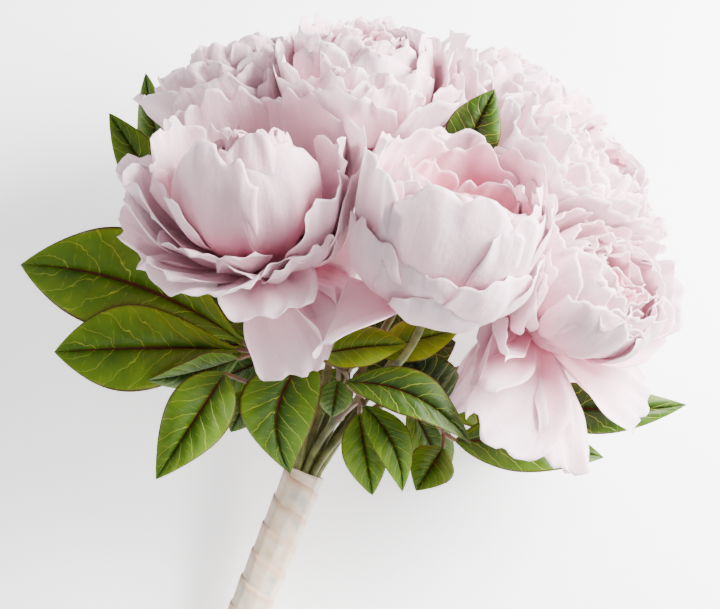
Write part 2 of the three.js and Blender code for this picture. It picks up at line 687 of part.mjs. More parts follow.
// The outer face of the winding: each turn's upper edge lies over the turn above it
function windingSolid() {
  const low = bundleOutline(GAP + RIBBON_WALL);
  const high = bundleOutline(GAP + RIBBON_WALL + RIBBON_STEP);
  const around = low.length;
  const turns = Math.ceil((RIBBON_TOP - RIBBON_FOOT) / RIBBON_PITCH) + 3;
  const last = around * turns;
  const start = RIBBON_TOP + 1.5 * RIBBON_PITCH;
  const positions = [];
  for (let k = 0; k <= last; k += 1) {
    const z = start - RIBBON_PITCH * k / around;
    positions.push(...high[k % around], z, ...low[k % around], z + RIBBON_EDGE);
  }
  const edge = (k) => 2 * k;
  const root = (k) => 2 * k + 1;
  const topMiddle = positions.length / 3;
  positions.push(0, 0, start + RIBBON_PITCH);
  positions.push(0, 0, start - RIBBON_PITCH * (turns + 1));
  const triangles = [];
  const quad = (a, b, c, d) => triangles.push(a, b, c, a, c, d);
  for (let k = 0; k < last; k += 1) {
    if (k + around < last) quad(edge(k), root(k + around), root(k + around + 1), edge(k + 1));
    quad(root(k), edge(k), edge(k + 1), root(k + 1));
  }
  for (let k = 0; k < around; k += 1) triangles.push(topMiddle, root(k), root(k + 1));
  triangles.push(topMiddle, root(around), edge(0));
  triangles.push(topMiddle, edge(0), root(0));
  for (let k = last - around; k < last; k += 1) triangles.push(topMiddle + 1, edge(k + 1), edge(k));
  triangles.push(topMiddle + 1, edge(last - around), root(last));
  triangles.push(topMiddle + 1, root(last), edge(last));
  return solidFrom(positions, triangles);
}

function outlineShape(points) {
  return new THREE.Shape(points.map(([x, y]) => new THREE.Vector2(x, y)));
}

function makeRibbon() {
  const reach = 40;
  const slab = new THREE.BoxGeometry(reach, reach, RIBBON_TOP - RIBBON_FOOT);
  slab.translate(0, 0, (RIBBON_TOP + RIBBON_FOOT) / 2);
  const depth = RIBBON_TOP - RIBBON_FOOT + 8;
  const bore = new THREE.ExtrudeGeometry(outlineShape(bundleOutline(GAP)), { depth, bevelEnabled: false });
  bore.translate(0, 0, RIBBON_FOOT - 4);
  return windingSolid().intersect(solidFromGeometry(slab)).subtract(solidFromGeometry(bore));
}

// The whole bunch, laid on the surface

const bunch = new THREE.Group();
bunch.rotation.x = radians(AXIS_LEAN - 90);
bunch.position.copy(BINDING_AT);

// The block below the surface that trims the lowest stem ends flat
const belowSurface = new THREE.BoxGeometry(TRIM_BLOCK, TRIM_BLOCK, TRIM_BLOCK);
belowSurface.translate(0, TRIM_AT, -TRIM_BLOCK / 2);
bunch.updateMatrixWorld();
belowSurface.applyMatrix4(bunch.matrixWorld.clone().invert());
const surfaceBlock = solidFromGeometry(belowSurface);

BLOOMS.forEach((bloom, order) => {
  bunch.add(makeMesh(`bloom_${bloom.name}`, makeBloom(bloom, order), COLOURS.petal, 0.7));
  const stem = makeStem(bloom).subtract(surfaceBlock);
  bunch.add(makeMesh(`stem_${bloom.name}`, stem, COLOURS.stem, 0.6));
});
FRONDS.forEach((frond, order) => {
  bunch.add(makeMesh(`leaves_${frond.name}`, makeFrond(frond, order), COLOURS.leaf, 0.6));
});
bunch.add(makeMesh('ribbon', makeRibbon(), COLOURS.ribbon, 0.45));

export default bunch;
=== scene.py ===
"""Bunch of artificial peonies, laid on a pale table and seen from above.

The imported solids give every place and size. This script replaces them with finer pieces: cloth
petals and leaves, moulded stems and a wound satin ribbon. All plans are in millimetres along the
bunch's own axis: x to the right, y down towards the table, z up the stems to the blooms.
"""

import logging
import math
from collections.abc import Callable, Iterable, Sequence
from dataclasses import dataclass
from enum import Enum
from functools import partial

import bpy
import numpy as np
from mathutils import Matrix, Vector

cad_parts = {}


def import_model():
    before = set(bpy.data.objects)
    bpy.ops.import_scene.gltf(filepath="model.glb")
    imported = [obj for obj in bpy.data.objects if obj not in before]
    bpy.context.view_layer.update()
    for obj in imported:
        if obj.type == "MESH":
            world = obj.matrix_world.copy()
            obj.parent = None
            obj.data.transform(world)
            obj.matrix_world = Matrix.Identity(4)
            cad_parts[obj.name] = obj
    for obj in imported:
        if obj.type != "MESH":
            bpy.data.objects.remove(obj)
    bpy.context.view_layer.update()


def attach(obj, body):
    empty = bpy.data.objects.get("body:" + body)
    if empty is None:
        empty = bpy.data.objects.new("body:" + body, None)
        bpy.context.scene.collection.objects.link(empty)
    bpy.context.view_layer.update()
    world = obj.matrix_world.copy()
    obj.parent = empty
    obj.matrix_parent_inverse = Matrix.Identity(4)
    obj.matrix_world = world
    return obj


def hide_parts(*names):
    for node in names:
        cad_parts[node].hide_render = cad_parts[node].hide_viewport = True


LOG = logging.getLogger("bunch")
MM = 0.001
Triple = tuple[float, float, float]

# The bunch as it lies
AXIS_LEAN = math.radians(21.0)
BINDING_AT = np.array([1.0, -58.0, 53.8])
HOLD_LEAN = math.radians(22.0)
DROOP = np.array([math.sin(HOLD_LEAN), 0.0, -math.cos(HOLD_LEAN)])

# Blooms
SEAT_SHARE = 0.64
CLOTH_THICKNESS = 0.28
CELL_MARGIN = 0.5
CELL_SQUEEZE = 7.0
SURFACE_SQUEEZE = 5.0
LINE_STEPS = 48
OUTER_RINGS = 3
SEEDS_PER_BLOOM = 80

# Stems
STEM_RADIUS = 2.0
STEM_PITCH = 4.35
ROW_PITCH = STEM_PITCH * math.sqrt(3.0) / 2.0
STRAIGHT_TOP = 3.0
JOINT_STEPS = 7
FIRST_JOINT = 2
JOINT_RADIUS = 2.8
CALYX_DEPTH = 9.0
CALYX_GAP = 0.3

# Leaves
SEEDS_PER_FROND = 5
CHART_STEP = 200.0

# The outer stems round the handle, counted in stems across and rows
BUNDLE_CORNERS = ((1.5, 0), (1, 1), (-1, 1), (-1.5, 0), (-1, -1), (0.15, -1.2), (1.15, -0.8))

# The photograph's frame
PHOTO_WIDTH = 720
PHOTO_HEIGHT = 609
MM_PER_PIXEL = 0.52
BINDING_PIXEL = (305.0, 472.0)
CAMERA_DISTANCE = 1400.0


class Slot(Enum):
    """The record's material slots."""

    PETALS = "petals"
    LEAVES = "leaves"
    STEMS = "stems"
    RIBBON = "ribbon"


class Habit(Enum):
    """How far a bloom has opened."""

    OPEN = "open"
    CUP = "cup"
    GLOBE = "globe"


@dataclass(frozen=True)
class Ring:
    """A ring of like petals. Lengths and widths are shares of the bloom's radius.

    The angles are those between the bloom's axis and the petal's middle line at its root,
    as it runs on, and at its tip, in degrees.
    """

    count: int
    root: float
    rise: float
    length: float
    width: float
    angles: Triple
    cup: float
    tuck: float
    ruffle: float
    frill: float
    blush: float
    jitter: float


@dataclass(frozen=True)
class Petal:
    """One petal: its azimuth about the bloom's axis, from the way petals droop, and its form."""

    azimuth: float
    length: float
    width: float
    angles: Triple
    root: float = 0.2
    rise: float = 0.1
    cup: float = 1.0
    tuck: float = 1.5
    ruffle: float = 2.0
    frill: float = 1.2
    blush: float = 0.2
    jitter: float = 0.03
    lean: float = 0.0


# A ring's blush, its second last value, grows towards the heart: inner rings are pinker, partly dye and
# partly painted glow of light bounced inside the bloom
OPEN_GUARD = Ring(7, 0.24, 0.13, 1.3, 1.0, (98, 24, 30), 1.0, 2.4, 1.8, 2.3, 0.12, 0.05)
OPEN_GUARD_INNER = Ring(8, 0.22, 0.18, 1.24, 0.85, (94, 18, 14), 0.98, 2.2, 1.8, 2.3, 0.2, 0.07)
OPEN_BOWL = Ring(8, 0.22, 0.24, 1.2, 0.8, (88, 12, -4), 0.94, 2.2, 1.6, 2.1, 0.3, 0.09)
BOWL = Ring(5, 0.26, 0.32, 1.08, 1.0, (82, 4, -30), 0.88, 2.2, 1.4, 1.6, 0.4, 0.08)
BOWL_INNER = Ring(6, 0.22, 0.4, 1.0, 0.8, (76, 0, -36), 0.84, 2.0, 1.4, 1.6, 0.5, 0.1)
INNER = Ring(6, 0.2, 0.48, 0.86, 0.7, (66, -4, -30), 0.8, 1.8, 1.6, 1.7, 0.65, 0.12)
HEART = Ring(5, 0.16, 0.54, 0.7, 0.62, (50, -10, -20), 0.75, 1.6, 1.6, 1.7, 0.8, 0.16)
CENTRE = Ring(7, 0.08, 0.58, 0.54, 0.5, (30, -8, 10), 0.7, 1.2, 1.8, 1.8, 1.0, 0.25)

TIGHT = Ring(5, 0.2, 0.13, 1.4, 1.35, (92, 2, -8), 0.94, 3.0, 0.7, 1.3, 0.4, 0.04)
TIGHT_INNER = Ring(5, 0.2, 0.2, 1.4, 1.25, (90, 2, -12), 0.94, 2.4, 0.7, 1.4, 0.5, 0.05)
CLOSED = Ring(5, 0.22, 0.26, 1.34, 1.1, (84, 4, -18), 0.9, 2.2, 0.9, 1.5, 0.8, 0.06)
CLOSED_INNER = Ring(5, 0.22, 0.3, 1.2, 0.95, (82, 4, -24), 0.86, 2.0, 1.2, 1.6, 1.6, 0.08)
SUNK = Ring(5, 0.2, 0.3, 0.92, 0.8, (76, 0, -26), 0.84, 1.8, 1.4, 1.6, 1.7, 0.1)
SUNK_HEART = Ring(5, 0.12, 0.32, 0.7, 0.6, (50, -8, -20), 0.75, 1.6, 1.6, 1.7, 1.7, 0.16)

GLOBE_GUARD = Ring(6, 0.24, 0.13, 1.3, 1.15, (98, 24, 30), 1.0, 2.6, 1.8, 2.3, -0.3, 0.05)
GLOBE_GUARD_INNER = Ring(7, 0.22, 0.18, 1.24, 0.95, (94, 18, 14), 0.98, 2.2, 1.8, 2.3, -0.25, 0.07)
GLOBE_BOWL = Ring(8, 0.22, 0.24, 1.16, 0.84, (88, 14, -2), 0.94, 2.2, 1.6, 2.2, -0.1, 0.09)
GLOBE_OUTER = Ring(5, 0.17, 0.16, 1.3, 0.95, (70, 8, -50), 0.92, 2.4, 1.2, 1.0, 0.7, 0.04)
GLOBE = Ring(5, 0.15, 0.32, 1.14, 0.85, (64, 6, -54), 0.88, 2.0, 1.4, 1.5, 0.9, 0.06)
GLOBE_INNER = Ring(6, 0.14, 0.38, 1.0, 0.72, (52, 2, -34), 0.84, 1.8, 1.6, 1.8, 1.3, 0.1)
GLOBE_HEART = Ring(6, 0.1, 0.42, 0.88, 0.6, (38, -4, -16), 0.8, 1.6, 2.0, 2.2, 1.3, 0.12)
GLOBE_CENTRE = Ring(7, 0.05, 0.46, 0.76, 0.46, (22, -4, 8), 0.7, 1.2, 2.0, 2.2, 1.4, 0.2)

RINGS = {
    Habit.OPEN: (
        OPEN_GUARD, OPEN_GUARD_INNER, OPEN_BOWL, BOWL, BOWL_INNER, INNER, HEART, CENTRE),
    Habit.CUP: (TIGHT, TIGHT_INNER, CLOSED, CLOSED_INNER, SUNK, SUNK_HEART),
    Habit.GLOBE: (
        GLOBE_GUARD, GLOBE_GUARD_INNER, GLOBE_BOWL, GLOBE_OUTER, GLOBE, GLOBE_INNER, GLOBE_HEART,
        GLOBE_CENTRE),
}


@dataclass(frozen=True)
class BloomPlan:
    """One bloom: its middle, the way it faces, its radius, and its stem's place in the handle.

    The bare stretch of azimuth has no outer guard petals: the loose petals hang there. Tall is
    an azimuth and two shares: ring petals are longer by a share there, and shorter opposite, the
    first share for the outer rings and the second for the inner ones.
    """

    name: str
    at: Triple
    faces: Triple
    radius: float
    habit: Habit
    turn: float
    slot: tuple[float, float]
    bare: tuple[float, float] | None = None
    loose: tuple[Petal, ...] = ()
    fine: bool = False
    tall: Triple = (0.0, 0.0, 0.0)

    @property
    def axes(self) -> tuple[np.ndarray, np.ndarray, np.ndarray]:
        """The bloom's own directions.

        Returns:
            The way it faces, the way its petals droop, and the way square to both.
        """
        out = unit(self.faces)
        down = unit(DROOP - (DROOP @ out) * out)
        return out, down, np.cross(out, down)

    @property
    def seat(self) -> np.ndarray:
        """Where its petals are rooted, on its calyx."""
        return np.array(self.at, dtype=float) - SEAT_SHARE * self.radius * self.axes[0]


@dataclass(frozen=True)
class Leaf:
    """One leaflet from base to tip, facing the upper side of the bunch unless it says otherwise.

    A belly above 0.8 puts its widest place nearer the tip. Its last field sets how yellow and
    bright its green is, partly its own tone and partly painted light: about 1 for a bright leaf in
    painted light, below 0 for a dark one in painted shade.
    """

    base: Triple
    tip: Triple
    width: float
    face: Triple = (0.0, -1.0, 0.1)
    bow: float = 0.0
    arch: float | None = None
    belly: float = 0.8
    light_and_tone: float = 0.0


@dataclass(frozen=True)
class FrondPlan:
    """A leafy stalk: the stem and joint it grows at, where it forks, and its leaflets."""

    name: str
    stem: str
    joint: int
    fork: Triple
    leaves: tuple[Leaf, ...]


BLOOMS = (
    BloomPlan(
        "front_left", (-74, -62, 119), (-0.41, -0.52, 0.74), 58, Habit.GLOBE, 150, (-1, -1),
        bare=(-62, 62), loose=(
            Petal(-84, 1.14, 1.05, (100, 52, 44), cup=1.2, frill=2.0),
            Petal(-46, 1.0, 0.95, (88, 62, 50), rise=0.08, frill=1.8, blush=-0.1),
            Petal(-22, 0.95, 1.15, (84, 64, 76), frill=1.8, blush=-0.2),
            Petal(-26, 0.82, 1.1, (80, 24, 54), root=0.24, ruffle=1.6, frill=2.0, blush=-0.4),
            Petal(16, 0.9, 0.9, (90, 76, 92), root=0.18, rise=0.06, frill=1.8, blush=-0.2),
            Petal(20, 0.8, 0.95, (84, 32, 64), root=0.24, ruffle=1.6, frill=2.0, blush=-0.4),
            Petal(50, 0.98, 1.0, (92, 56, 18), frill=2.4, blush=-0.1),
            Petal(84, 1.05, 0.9, (100, 56, 10), frill=2.0, blush=0.3),
            Petal(36, 1.0, 1.05, (130, 134, 146), root=0.18, rise=0.05, cup=1.6, ruffle=4.5,
                  frill=3.4, blush=-0.4),
            Petal(66, 0.96, 0.8, (124, 120, 138), root=0.18, rise=0.05, cup=1.4, ruffle=4.0,
                  frill=3.2, blush=-0.3),
            Petal(94, 1.2, 1.15, (102, 108, 116), root=0.18, rise=0.05, cup=1.3, blush=0.2),
        ),
        fine=True, tall=(180.0, 0.22, -0.16),
    ),
    BloomPlan(
        "front_middle", (22, -80, 137), (-0.09, -0.3, 0.95), 56, Habit.CUP, 30, (0, -1),
        loose=(
            Petal(-112, 1.56, 1.25, (92, 8, -6), ruffle=0.9, frill=2.0),
            Petal(-44, 1.6, 1.35, (92, 6, -14), root=0.21, rise=0.12, tuck=2.4, ruffle=0.7, frill=1.2),
            Petal(10, 1.46, 1.1, (92, 8, -12), root=0.21, rise=0.12, tuck=2.4, ruffle=0.7, frill=1.3),
            Petal(118, 1.6, 1.1, (92, 8, -8), root=0.22, rise=0.2, frill=2.2),
            Petal(166, 1.56, 1.1, (92, 8, -8), root=0.22, rise=0.24, frill=2.2),
            Petal(-70, 1.0, 1.15, (118, 44, -10), ruffle=0.9),
            Petal(4, 1.1, 1.15, (118, 44, -14), ruffle=0.9),
            Petal(-102, 1.2, 1.0, (116, 34, -8), ruffle=0.9, blush=0.4),
            Petal(44, 1.15, 1.1, (114, 32, -10), ruffle=1.2),
            Petal(-32, 0.84, 1.05, (128, 66, -6), root=0.18, rise=0.03, ruffle=0.9),
            Petal(-110, 1.2, 1.45, (112, 118, 128), root=0.18, rise=0.03, cup=1.4, blush=0.0),
        ),
        fine=True, tall=(135.0, 0.12, 0.12),
    ),
    BloomPlan(
        "front_right", (97, -44, 135), (0.42, -0.62, 0.66), 55, Habit.OPEN, 150, (1, -1),
        bare=(-84, 84), loose=(
            Petal(-96, 1.16, 1.1, (96, 78, 58), ruffle=2.5, frill=2.0, blush=-0.3),
            Petal(-88, 1.2, 1.35, (98, 98, 102), root=0.14, rise=0.04, ruffle=2.5, frill=2.2,
                  blush=-0.2),
            Petal(-78, 1.2, 0.95, (60, 14, -10), root=0.1, rise=0.08, frill=1.8, blush=-0.1),
            Petal(-30, 1.22, 0.9, (56, 16, -4), root=0.1, rise=0.08, frill=1.8, blush=-0.1),
            Petal(20, 1.2, 0.95, (58, 16, -6), root=0.1, rise=0.08, frill=1.8, blush=-0.1),
            Petal(70, 1.24, 1.0, (66, 24, 6), root=0.1, rise=0.08, frill=1.8, blush=-0.1),
            Petal(-68, 1.18, 0.5, (105, 118, 130), root=0.12, rise=0.02, cup=1.4, frill=2.0),
            Petal(-46, 1.25, 1.25, (98, 104, 110), root=0.1, rise=0.03, cup=1.2, ruffle=2.5,
                  frill=2.4, blush=-0.3),
            Petal(-5, 1.29, 0.6, (94, 96, 100), root=0.1, rise=0.02, cup=1.5, ruffle=2.5,
                  frill=2.4, blush=-0.3),
            Petal(56, 1.28, 1.1, (92, 88, 84), root=0.1, rise=0.04, cup=1.1, ruffle=2.5,
                  frill=2.4, blush=-0.2),
            Petal(86, 1.2, 1.1, (98, 52, 40), root=0.14, rise=0.06, frill=2.2, blush=0.1),
        ),
        fine=True,
    ),
    BloomPlan("top_left", (-101, 12, 170), (-0.55, -0.08, 0.83), 47, Habit.OPEN, 0, (-1.5, 0)),
    BloomPlan("top_middle", (-46, -6, 195), (-0.22, -0.35, 0.91), 52, Habit.OPEN, 25, (-0.5, 0)),
    BloomPlan("top_back", (25, 28, 214), (0.08, -0.1, 0.99), 50, Habit.OPEN, 40, (0.5, 0)),
    BloomPlan("top_right", (72, -14, 188), (0.45, -0.35, 0.82), 51, Habit.OPEN, 12, (1.5, 0)),
    BloomPlan("back_left", (-78, 62, 138), (-0.55, 0.62, 0.56), 52, Habit.OPEN, 15, (-1, 1)),
    BloomPlan("back_middle", (0, 70, 160), (0.02, 0.72, 0.69), 51, Habit.CUP, 0, (0, 1)),
    BloomPlan("back_right", (80, 60, 140), (0.58, 0.6, 0.55), 52, Habit.OPEN, 33, (1, 1)),
)

# Each leaf's green is painted brighter when it lies in light and darker when it lies in painted shade
# under the blooms, mixed with its own tone
FRONDS = (
    FrondPlan("left_front", "front_left", 3, (-45, -27, 50), (
        Leaf((-54, -26, 51), (-176, -12, 45), 54, bow=9, arch=8, belly=1.25, light_and_tone=0.6),
        Leaf((-55, -31, 47), (-141, -33, 11), 45, bow=1, arch=5, belly=1.25, light_and_tone=0.5),
        Leaf((-53, -38, 43), (-91, -48, 16), 24, (0.5, -0.7, -0.5), arch=2),
    )),
    FrondPlan("left_hanging", "front_left", 2, (-40, -38, 34), (
        Leaf((-56, -50, 34), (-68, -52, -28), 33, (0, -1, 0), arch=4, belly=0.68, light_and_tone=0.2),
        Leaf((-41, -28, 30), (-43, -20, 6), 17),
    )),
    FrondPlan("left_behind", "top_left", 3, (-46, 8, 56), (
        Leaf((-56, 8, 60), (-148, 20, 78), 30, bow=-4),
        Leaf((-50, 14, 52), (-96, 34, 22), 30, (-0.2, -0.9, 0.4)),
    )),
    FrondPlan("front_hanging", "front_middle", 3, (-4, -46, 58), (
        Leaf((-20, -44, 59), (-7, -38, -1), 40, (-0.1, -1, 0), bow=11, arch=4),
        Leaf((-2, -40, 52), (2, -32, 33), 18),
        Leaf((-15, -46, 61), (23, -54, 82), 25, (0, -0.9, 0.5), light_and_tone=0.7),
        Leaf((11, -37, 72), (46, -35, 99), 24, (0, -0.9, 0.5), light_and_tone=1.0),
    )),
    FrondPlan("middle_hanging", "front_middle", 2, (12, -42, 48), (
        Leaf((2, -58, 53), (71, -60, 48), 25, (0, -0.9, 0.45), bow=-7, arch=6, light_and_tone=-0.5),
        Leaf((15, -44, 45), (49, -44, 12), 20, bow=-5, arch=5),
        Leaf((14, -38, 40), (36, -34, 4), 24, light_and_tone=0.5),
    )),
    FrondPlan("right_low", "front_right", 3, (58, -13, 46), (
        Leaf((61, -16, 39), (56, -25, 14), 24),
        Leaf((66, -10, 45), (142, 8, 65), 30, (0.1, -1, 0.2), bow=-2, light_and_tone=0.1),
        Leaf((52, -22, 54), (24, -31, 80), 36, (0, -1, 0.3), light_and_tone=-0.8),
    )),
    FrondPlan("right_high", "front_right", 5, (68, 14, 72), (
        Leaf((86, 16, 76), (174, 25, 107), 27, (0.1, -1, 0.2), bow=5, light_and_tone=-0.4),
        Leaf((72, 22, 64), (118, 42, 50), 28),
    )),
    FrondPlan("between_tops", "top_middle", 6, (-8, -29, 158), (
        Leaf((13, -38, 176), (16, -48, 217), 28, (0, -1, 0.1), light_and_tone=-0.4),
    )),
    FrondPlan("left_top", "top_left", 6, (-100, 18, 106), (
        Leaf((-120, 34, 102), (-168, 32, 136), 24, (-0.3, -1, 0.2)),
        Leaf((-124, 38, 112), (-160, 52, 164), 22, (-0.6, -0.8, 0.2)),
    )),
    FrondPlan("back_left", "back_left", 3, (-34, 36, 56), (
        Leaf((-42, 40, 56), (-112, 66, 62), 34, (0, -0.9, 0.5), arch=3),
        Leaf((-36, 42, 50), (-70, 66, 14), 28, (0, -0.9, 0.5), arch=3),
    )),
    FrondPlan("back_middle", "back_middle", 3, (2, 34, 58), (
        Leaf((2, 40, 56), (-14, 64, 14), 28, (0, -0.9, 0.5), arch=3),
        Leaf((4, 42, 61), (50, 66, 92), 46, (0, -0.9, 0.5), arch=3, light_and_tone=-0.8),
    )),
    FrondPlan("back_right", "back_right", 3, (34, 36, 58), (
        Leaf((42, 40, 60), (116, 68, 70), 34, (0, -0.9, 0.5), arch=3),
        Leaf((38, 42, 52), (74, 66, 18), 28, (0, -0.9, 0.5), arch=3),
    )),
)


# Numbers and directions


def unit(vector: Iterable[float]) -> np.ndarray:
    """The vector at length one."""
    array = np.asarray(vector, dtype=float)
    return array / np.linalg.norm(array)


def scatter(first: float, second: float) -> float:
    """A repeatable number between -1 and 1 for two numbers.

    Args:
        first: usually the piece's own number.
        second: which of its choices this is.

    Returns:
        The number.
    """
    wave = math.sin(first * 127.1 + second * 311.7) * 43758.5453
    return 2.0 * (wave - math.floor(wave)) - 1.0


def bezier(points: tuple[np.ndarray, ...], share: float) -> np.ndarray:
    """The point at a share of the way along a cubic curve.

    Args:
        points: its four control points.
        share: from 0 at the start to 1 at the end.

    Returns:
        The point.
    """
    start, first, second, end = points
    rest = 1.0 - share
    ends = rest**3 * start + share**3 * end
    return ends + 3 * rest * share * (rest * first + share * second)


def to_row(points: np.ndarray) -> np.ndarray:
    """Turns plan points to places in the row's frame.

    Args:
        points: one or more, in millimetres along the bunch.

    Returns:
        The same points in metres, as the bunch lies.
    """
    x, y, z = np.moveaxis(np.asarray(points, dtype=float), -1, 0)
    sine, cosine = math.sin(AXIS_LEAN), math.cos(AXIS_LEAN)
    laid = np.stack([x, y * sine + z * cosine, z * sine - y * cosine], axis=-1)
    return (laid + BINDING_AT) * MM


def grid(rows: int, columns: int) -> tuple[np.ndarray, np.ndarray]:
    """Places across a sheet, from -1 to 1, and along it, from 0 to 1.

    Args:
        rows: steps along it.
        columns: steps across it.

    Returns:
        Two arrays with a row for each place along the sheet.
    """
    return np.meshgrid(np.linspace(-1.0, 1.0, columns + 1), np.linspace(0.0, 1.0, rows + 1))


def smooth_line(points: list[np.ndarray], per_span: int) -> list[np.ndarray]:
    """Points along a smooth curve through the given ones.

    Args:
        points: the points it passes.
        per_span: how many steps each span is cut into.

    Returns:
        The points, the ends included.
    """
    line = [2 * points[0] - points[1], *points, 2 * points[-1] - points[-2]]
    made = []
    for k in range(1, len(line) - 2):
        before, here, there, after = line[k - 1:k + 3]
        pull = 2 * before - 5 * here + 4 * there - after
        bend = 3 * here - before - 3 * there + after
        for step in range(per_span):
            t = step / per_span
            made.append(0.5 * (2 * here + (there - before) * t + pull * t**2 + bend * t**3))
    made.append(points[-1])
    return made


# Nodes and finishes


def linear(colour: str) -> tuple[float, float, float, float]:
    """Turns an sRGB colour to linear numbers.

    Args:
        colour: in hex, with its hash sign.

    Returns:
        Red, green, blue and full alpha.
    """
    parts = [int(colour[k:k + 2], 16) / 255.0 for k in (1, 3, 5)]
    red, green, blue = [p / 12.92 if p <= 0.04045 else ((p + 0.055) / 1.055) ** 2.4 for p in parts]
    return red, green, blue, 1.0


def add_node(tree: bpy.types.NodeTree, kind: str, inputs: dict | None = None,
             ramp: Sequence[tuple[float, str]] = (), **settings: object) -> bpy.types.Node:
    """Adds a node to a tree.

    Args:
        tree: the material's or modifier's tree.
        kind: Blender's name of the node type.
        inputs: sockets by name or number, each with a value, with the output that feeds it, or
            with a node whose first output in use feeds it.
        ramp: the stops of a colour ramp, each a place and a hex colour.
        settings: attributes to set on the node.

    Returns:
        The new node.
    """
    made = tree.nodes.new(kind)
    for name, value in settings.items():
        setattr(made, name, value)
    if ramp:
        elements = made.color_ramp.elements
        while len(elements) < len(ramp):
            elements.new(1.0)
        for element, (place, colour) in zip(elements, ramp):
            element.position = place
            element.color = linear(colour)
    for name, value in (inputs or {}).items():
        socket = made.inputs[name]
        if isinstance(value, bpy.types.Node):
            value = next(output for output in value.outputs if output.enabled)
        if isinstance(value, bpy.types.NodeSocket):
            tree.links.new(value, socket)
        else:
            socket.default_value = value
    return made


def new_material(name: str) -> tuple[bpy.types.Material, Callable[..., bpy.types.Node]]:
    """A material with an empty tree.

    Args:
        name: what the real finish is.

    Returns:
        The material, and add_node for its tree.
    """
    material = bpy.data.materials.new(name)
    material.use_nodes = True
    material.node_tree.nodes.clear()
    return material, partial(add_node, material.node_tree)


@dataclass(frozen=True)
class PetalCloth:
    """Dyed polyester cloth, heat set: matt, lets light through, pink at the base; inner petals and
    inner faces pinker, partly dye and partly painted glow of light bounced inside the bloom.
    """

    base: str = "#CC4A70"
    flush: str = "#EA7C98"
    blush: str = "#F2A9BB"
    pale: str = "#F3BECC"
    tip: str = "#F5D4DE"
    vein: str = "#E9A0B4"
    cloud_mm: float = 22.0
    weave_mm: float = 0.9
    crumple_mm: float = 7.0
    pleat_mm: float = 2.6
    pleats: Triple = (5.5, 1.6, 1.0)
    veins: Triple = (46.0, 1.6, 1.0)
    apart: float = 14.0
    unevenness: float = 0.22
    blush_pull: float = -0.36
    glow_mm: float = 3.0

    def material(self) -> bpy.types.Material:
        """Builds the petal cloth.

        Returns:
            The material.
        """
        made, add = new_material("petal_cloth_dyed_polyester")
        chart = add("ShaderNodeUVMap", uv_map="petal")
        depth = add("ShaderNodeAttribute", attribute_name="blush").outputs["Fac"]
        place = add("ShaderNodeTexCoord").outputs["Object"]
        split = add("ShaderNodeSeparateXYZ", {"Vector": chart})
        # The dye runs unevenly up the petal
        cloud = add("ShaderNodeTexNoise", {
            "Vector": place, "Scale": 1 / (self.cloud_mm * MM), "Detail": 2.0})
        uneven = add("ShaderNodeMath", {
            0: cloud, 1: self.unevenness, 2: split.outputs["Y"]}, operation="MULTIPLY_ADD")
        # Blushed petals and faces sit nearer the base's pink: partly dye, partly painted glow of light
        # bounced between petals deep in the bloom
        sunk = add("ShaderNodeMath", {
            0: depth, 1: self.blush_pull, 2: uneven}, operation="MULTIPLY_ADD")
        dye = add("ShaderNodeValToRGB", {"Fac": sunk}, ramp=[
            (0.0, self.base), (0.07, self.flush), (0.2, self.blush), (0.46, self.pale),
            (0.92, self.tip)])
        # Fine veins fan up from the base
        fan = add("ShaderNodeMapping", {"Vector": chart, "Scale": self.veins})
        veins = add("ShaderNodeTexNoise", {"Vector": fan, "Scale": 1.0, "Detail": 3.0})
        lines = add("ShaderNodeMapRange", {
            "Value": veins, "From Min": 0.5, "From Max": 0.72, "To Min": 0.0, "To Max": 0.3})
        tinted = add("ShaderNodeMix", {0: lines, 6: dye, 7: linear(self.vein)}, data_type="RGBA")
        # The weave is about 0.3 mm, drawn three times as coarse so that it shows
        threads = add("ShaderNodeTexNoise", {
            "Vector": place, "Scale": 1 / (self.weave_mm * MM), "Detail": 1.0})
        crumple = add("ShaderNodeTexNoise", {
            "Vector": place, "Scale": 1 / (self.crumple_mm * MM), "Detail": 3.0, "Roughness": 0.55})
        soft = add("ShaderNodeBump", {"Strength": 0.5, "Distance": 1.2 * MM, "Height": crumple})
        # Soft pleats run up the petal, different on each
        gather = add("ShaderNodeMapping", {"Vector": chart, "Scale": self.pleats})
        apart = add("ShaderNodeVectorMath", {
            0: place, 1: (self.apart, self.apart, self.apart), 2: gather}, operation="MULTIPLY_ADD")
        folds = add("ShaderNodeTexNoise", {
            "Vector": apart, "Scale": 1.0, "Detail": 2.0, "Roughness": 0.45})
        pleats = add("ShaderNodeBump", {
            "Strength": 0.5, "Distance": self.pleat_mm * MM, "Height": folds, "Normal": soft})
        ribbed = add("ShaderNodeBump", {
            "Strength": 0.3, "Distance": 0.35 * MM, "Height": veins, "Normal": pleats})
        woven = add("ShaderNodeBump", {
            "Strength": 0.15, "Distance": 0.12 * MM, "Height": threads, "Normal": ribbed})
        shader = add("ShaderNodeBsdfPrincipled", {
            "Base Color": tinted, "Normal": woven, "Roughness": 0.7, "Specular IOR Level": 0.22,
            "Sheen Weight": 0.15, "Sheen Roughness": 0.5, "Subsurface Weight": 0.4,
            "Subsurface Radius": (1.0, 0.88, 0.92), "Subsurface Scale": self.glow_mm * MM})
        add("ShaderNodeOutputMaterial", {"Surface": shader})
        return made


